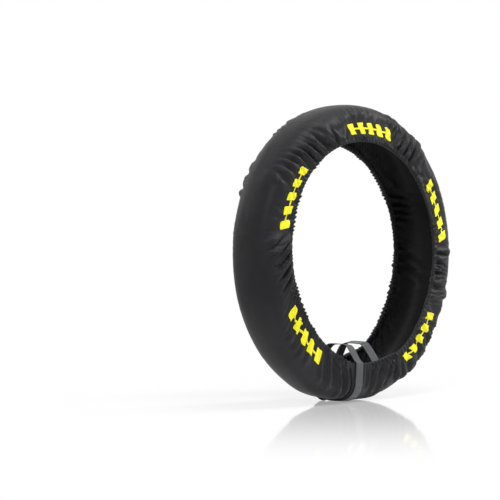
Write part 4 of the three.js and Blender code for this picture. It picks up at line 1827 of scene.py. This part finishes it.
@dataclass
class TireCover:
    """The whole cover, piece by piece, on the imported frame."""

    shape: CoverShape = field(default_factory=CoverShape)
    first_mark: float = math.radians(-46)
    mark_step: float = math.radians(66.6)
    mark_count: int = 5
    casing_seam: float = 12.4 * MM
    tape_lift: float = 1.25 * MM
    tape_seams: tuple[float, float] = (1.6 * MM, 7.4 * MM)
    strap_seam_lift: float = 0.8 * MM
    strap_seam_half: float = 10.5 * MM

    def __post_init__(self) -> None:
        """Settles the cloth and makes the finishes."""
        angles = tuple(self.first_mark + k * self.mark_step for k in range(self.mark_count))
        self.mark_angles = angles
        self.surface = ClothSurface(self.shape, Gathers(self.shape, angles))
        self.finishes = {finish.name: finish.material() for finish in
                         (CLOTH, WEBBING, BINDING, HOOKS, ELASTIC, FILM, THREAD)}
        self.pieces: dict[str, bpy.types.Object] = {}

    def keep(self, made: bpy.types.Object, slot: str, *nodes: str) -> bpy.types.Object:
        """Puts a piece on the body, in place of its CAD nodes.

        Args:
            made: The piece.
            slot: Name of a material slot; not used.
            nodes: The CAD nodes that it stands for.

        Returns:
            The piece.
        """
        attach(made, "root")
        if nodes:
            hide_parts(*nodes)
        self.pieces[made.name] = made
        log.info("%s: %d faces", made.name, len(made.data.polygons))
        return made

    def build_cloth(self) -> None:
        """Builds the cloth strip and its two bindings."""
        sleeve = Sleeve(self.surface)
        self.face = sleeve.face()
        self.keep(sleeve.build(self.finishes[CLOTH.name]), "black_cloth", "sleeve")
        self.bindings = []
        for name, at_left in (("right_end_binding", False), ("left_end_binding", True)):
            binding = EndBinding(self.surface, f"{name}_tape", at_left)
            self.bindings.append(binding)
            self.keep(binding.build(self.finishes[BINDING.name]), "binding_tape", name)

    def build_straps(self) -> None:
        """Builds both straps and their hook-and-loop patches."""
        path = Path(self.shape)
        near = path.thickness / 2 + path.clear + path.patch / 2
        far = near + path.patch + path.clear
        closing, short = self.shape.strap_angle, self.shape.rim_strap_angle
        patch = {"slot": "hook_and_loop", "width": 23 * MM, "thickness": path.patch, "wave": 0.0}
        loop, hook = (path.closure_patch(path.lift + lift) for lift in (near, far))
        self.closing = Band("closure_strap_webbing", "closure_strap", path.closure(), closing,
                            "webbing", seed=3)
        self.short = Band("rim_strap_webbing", "rim_strap", path.short(), short, "webbing", seed=4)
        bands = [
            self.closing,
            Band("closure_loop_tape", "closure_loop_patch", loop, closing, **patch),
            Band("closure_hook_tape", "closure_hook_patch", hook, closing, **patch),
            self.short,
            Band("rim_tail_webbing", "rim_strap_tail", path.tail(), short, "webbing", seed=6),
            Band("rim_loop_tape", "rim_loop_patch", path.short_patch(near), short, **patch),
            Band("rim_hook_tape", "rim_hook_patch", path.short_patch(far), short, **patch),
        ]
        looks = {"webbing": WEBBING.name, "hook_and_loop": HOOKS.name}
        for band in bands:
            self.keep(band.build(self.finishes[looks[band.slot]]), band.slot, band.node)

    def build_marks(self) -> None:
        """Builds the printed marks."""
        for number, angle in enumerate(self.mark_angles, 1):
            mark = PrintedMark(self.surface, self.face, f"printed_bars_{number}", angle)
            self.keep(mark.build(self.finishes[FILM.name]), "yellow_film", f"print_mark_{number}")

    def hem_line(self, side: int) -> tuple[Array, Array]:
        """The seam that closes one hem's casing.

        Args:
            side: -1 on the front and 1 on the back.

        Returns:
            Points and outward directions.
        """
        along = np.linspace(0.003, 0.997, 2600)
        down = np.full_like(along, side * (1 - self.casing_seam / self.shape.half_cut))
        return self.surface.beside(along, down, 0.12 * MM)

    def build_stitching(self) -> None:
        """Sews the hems, the bindings and the straps."""
        thread = self.finishes[THREAD.name]
        rows = StitchRows()
        tree = rows.tree(thread)
        hems = [self.hem_line(side.value) for side in Side]
        self.keep(rows.sew("hem_stitching", hems, tree, thread), "black_cloth")
        tapes = [binding.line(distance, self.tape_lift) for binding in self.bindings
                 for distance in self.tape_seams]
        self.keep(rows.sew("binding_stitching", tapes, tree, thread), "binding_tape")
        small = StitchRows(spacing=2.6 * MM, length=2.1 * MM, radius=0.3 * MM, seed=9)
        end = self.closing.frames()[3][-1]
        near, far = end - 44 * MM, end - 9 * MM
        lift, half = self.strap_seam_lift, self.strap_seam_half
        box = [self.closing.face_line(side * half, near, far, -lift) for side in (-1, 1)]
        box += [self.closing.cross_line(at, half, -lift) for at in (near, far)]
        start = 3 * MM
        box += [self.short.cross_line(at, half, sign * lift)
                for at in (start, start + 5 * MM) for sign in (-1, 1)]
        self.keep(small.sew("strap_stitching", box, tree, thread), "webbing")

    def dress_elastics(self) -> None:
        """Gives the two elastics in their casings the ribbed finish."""
        finish = self.elastic_material()
        for node in ("front_elastic", "back_elastic"):
            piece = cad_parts[node]
            piece.data.materials.clear()
            piece.data.materials.append(finish)
            log.info("%s: finish %s", node, ELASTIC.name)

    def elastic_material(self) -> bpy.types.Material:
        """The elastic's finish on Object coordinates, because the CAD mesh has no map."""
        made = self.finishes[ELASTIC.name]
        for node in [n for n in made.node_tree.nodes if n.bl_idname == "ShaderNodeUVMap"]:
            place = made.node_tree.nodes.new("ShaderNodeTexCoord")
            for link in list(node.outputs[0].links):
                made.node_tree.links.new(place.outputs["Object"], link.to_socket)
            made.node_tree.nodes.remove(node)
        return made

    def build(self) -> None:
        """Builds and dresses every piece."""
        self.build_cloth()
        self.build_straps()
        self.build_marks()
        self.build_stitching()
        self.dress_elastics()


@dataclass
class Studio:
    """The pale floor, the white surround, the soft lamps and the camera."""

    floor_height: float = -0.3465
    floor_size: float = 60.0
    camera_azimuth: float = math.radians(-49.87)
    camera_elevation: float = math.radians(0.82)
    camera_distance: float = 4.0
    camera_yaw: float = math.radians(3.232)
    camera_pitch: float = math.radians(0.08)
    lens: float = 1702.6 / 500 * 36

    def seen(self, graph: Graph) -> Socket:
        """1 for rays that come from the camera, a mirror or glass, and 0 for the others.

        Args:
            graph: The graph to add to.

        Returns:
            The mask.
        """
        path = graph.tree.nodes.new("ShaderNodeLightPath")
        found = [Socket(graph, path.outputs[name]) for name in
                 ("Is Camera Ray", "Is Glossy Ray", "Is Transmission Ray")]
        return found[0].at_least(found[1]).at_least(found[2])

    def build_world(self) -> None:
        """Makes the surround: white where it is seen, softer where it lights."""
        world = bpy.data.worlds.new("white_surround")
        bpy.context.scene.world = world
        world.use_nodes = True
        graph = Graph(world.node_tree)
        seen = graph.add("ShaderNodeBackground", None, {"Color": (1, 1, 1, 1), "Strength": 1.0})
        soft = graph.add("ShaderNodeBackground", None,
                         {"Color": (0.95, 0.97, 1, 1), "Strength": 0.16})
        mixed = graph.add("ShaderNodeMixShader", None, {0: self.seen(graph), 1: soft, 2: seen})
        graph.add("ShaderNodeOutputWorld", None, {"Surface": mixed})

    def build_floor(self) -> None:
        """Makes the floor, which keeps a soft shadow and a mirror image that fades."""
        half = self.floor_size / 2
        points = [(-half, -half, self.floor_height), (half, -half, self.floor_height),
                  (half, half, self.floor_height), (-half, half, self.floor_height)]
        floor = Mesher.mesh("studio_floor", np.array(points), np.array([[0, 1, 2, 3]]))
        made = bpy.data.materials.new("pale_floor")
        made.use_nodes = True
        graph = Graph(made.node_tree)
        matte = graph.add("ShaderNodeBsdfDiffuse", None, {"Color": (0.86, 0.86, 0.86, 1)})
        glow = graph.add("ShaderNodeEmission", None, {"Color": (1, 1, 1, 1), "Strength": 1.0})
        place = graph.add("ShaderNodeTexCoord", None, None, "Object")
        flat = graph.add("ShaderNodeVectorMath", {"operation": "MULTIPLY"},
                         {0: place, 1: (1, 1, 0)})
        away = graph.add("ShaderNodeVectorMath", {"operation": "LENGTH"}, {0: flat}, "Value")
        white = graph.add("ShaderNodeMapRange", {"interpolation_type": "SMOOTHSTEP"}, {
            "Value": away, "From Min": 0.05, "From Max": 0.8, "To Min": 0.66, "To Max": 1.0})
        pale = graph.add("ShaderNodeMixShader", None,
                         {0: self.seen(graph) * white, 1: matte, 2: glow})
        mirror = graph.add("ShaderNodeBsdfGlossy", None, {"Color": (1, 1, 1, 1), "Roughness": 0.06})
        fade = graph.add("ShaderNodeMapRange", {"interpolation_type": "SMOOTHSTEP"}, {
            "Value": away, "From Min": 0.1, "From Max": 1.1, "To Min": 0.5, "To Max": 0.0})
        mixed = graph.add("ShaderNodeMixShader", None, {0: fade, 1: pale, 2: mirror})
        graph.add("ShaderNodeOutputMaterial", None, {"Surface": mixed})
        floor.data.materials.append(made)

    def lamp(self, name: str, place: tuple[float, float, float], size: float,
             power: float) -> None:
        """A large soft white lamp that points at the cover.

        Args:
            name: The lamp's name.
            place: Where it hangs.
            size: Its width.
            power: Its power in watts.
        """
        data = bpy.data.lights.new(name, "AREA")
        data.shape, data.size, data.energy = "SQUARE", size, power
        made = bpy.data.objects.new(name, data)
        made.location = place
        made.rotation_euler = (-Vector(place)).to_track_quat("-Z", "Y").to_euler()
        bpy.context.scene.collection.objects.link(made)

    def build_lamps(self) -> None:
        """Hangs the key, the fill, the top and the rim lamp."""
        self.lamp("key_lamp", (2.7, -1.9, 2.3), 0.9, 92)
        self.lamp("fill_lamp", (-2.9, -1.5, 2.7), 0.8, 44)
        self.lamp("top_lamp", (0.0, -0.9, 3.0), 1.4, 62)
        self.lamp("back_lamp", (-0.8, 3.0, 1.4), 2.0, 22)

    def build_camera(self) -> None:
        """Places the camera as the photograph's view was fitted."""
        a, e = self.camera_azimuth, self.camera_elevation
        back = Vector((math.sin(a) * math.cos(e), -math.cos(a) * math.cos(e), math.sin(e)))
        forward = Matrix.Rotation(self.camera_yaw, 3, "Z") @ -back
        right = forward.cross(Vector((0, 0, 1))).normalized()
        forward = Matrix.Rotation(self.camera_pitch, 3, right) @ forward
        up = right.cross(forward)
        data = bpy.data.cameras.new("studio_camera")
        data.lens, data.sensor_width = self.lens, 36.0
        made = bpy.data.objects.new("studio_camera", data)
        turn = Matrix((right, up, -forward)).transposed()
        made.matrix_world = Matrix.Translation(back * self.camera_distance) @ turn.to_4x4()
        bpy.context.scene.collection.objects.link(made)
        bpy.context.scene.camera = made

    def build(self) -> None:
        """Builds the studio."""
        bpy.context.scene.view_settings.view_transform = "Standard"
        self.build_world()
        self.build_floor()
        self.build_lamps()
        self.build_camera()
        log.info("studio ready")


def main() -> None:
    """Builds the studio and the cover."""
    logging.basicConfig(level=logging.INFO, format="%(message)s")
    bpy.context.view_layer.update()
    Studio().build()
    TireCover().build()


if __name__ == "__main__":
    main()
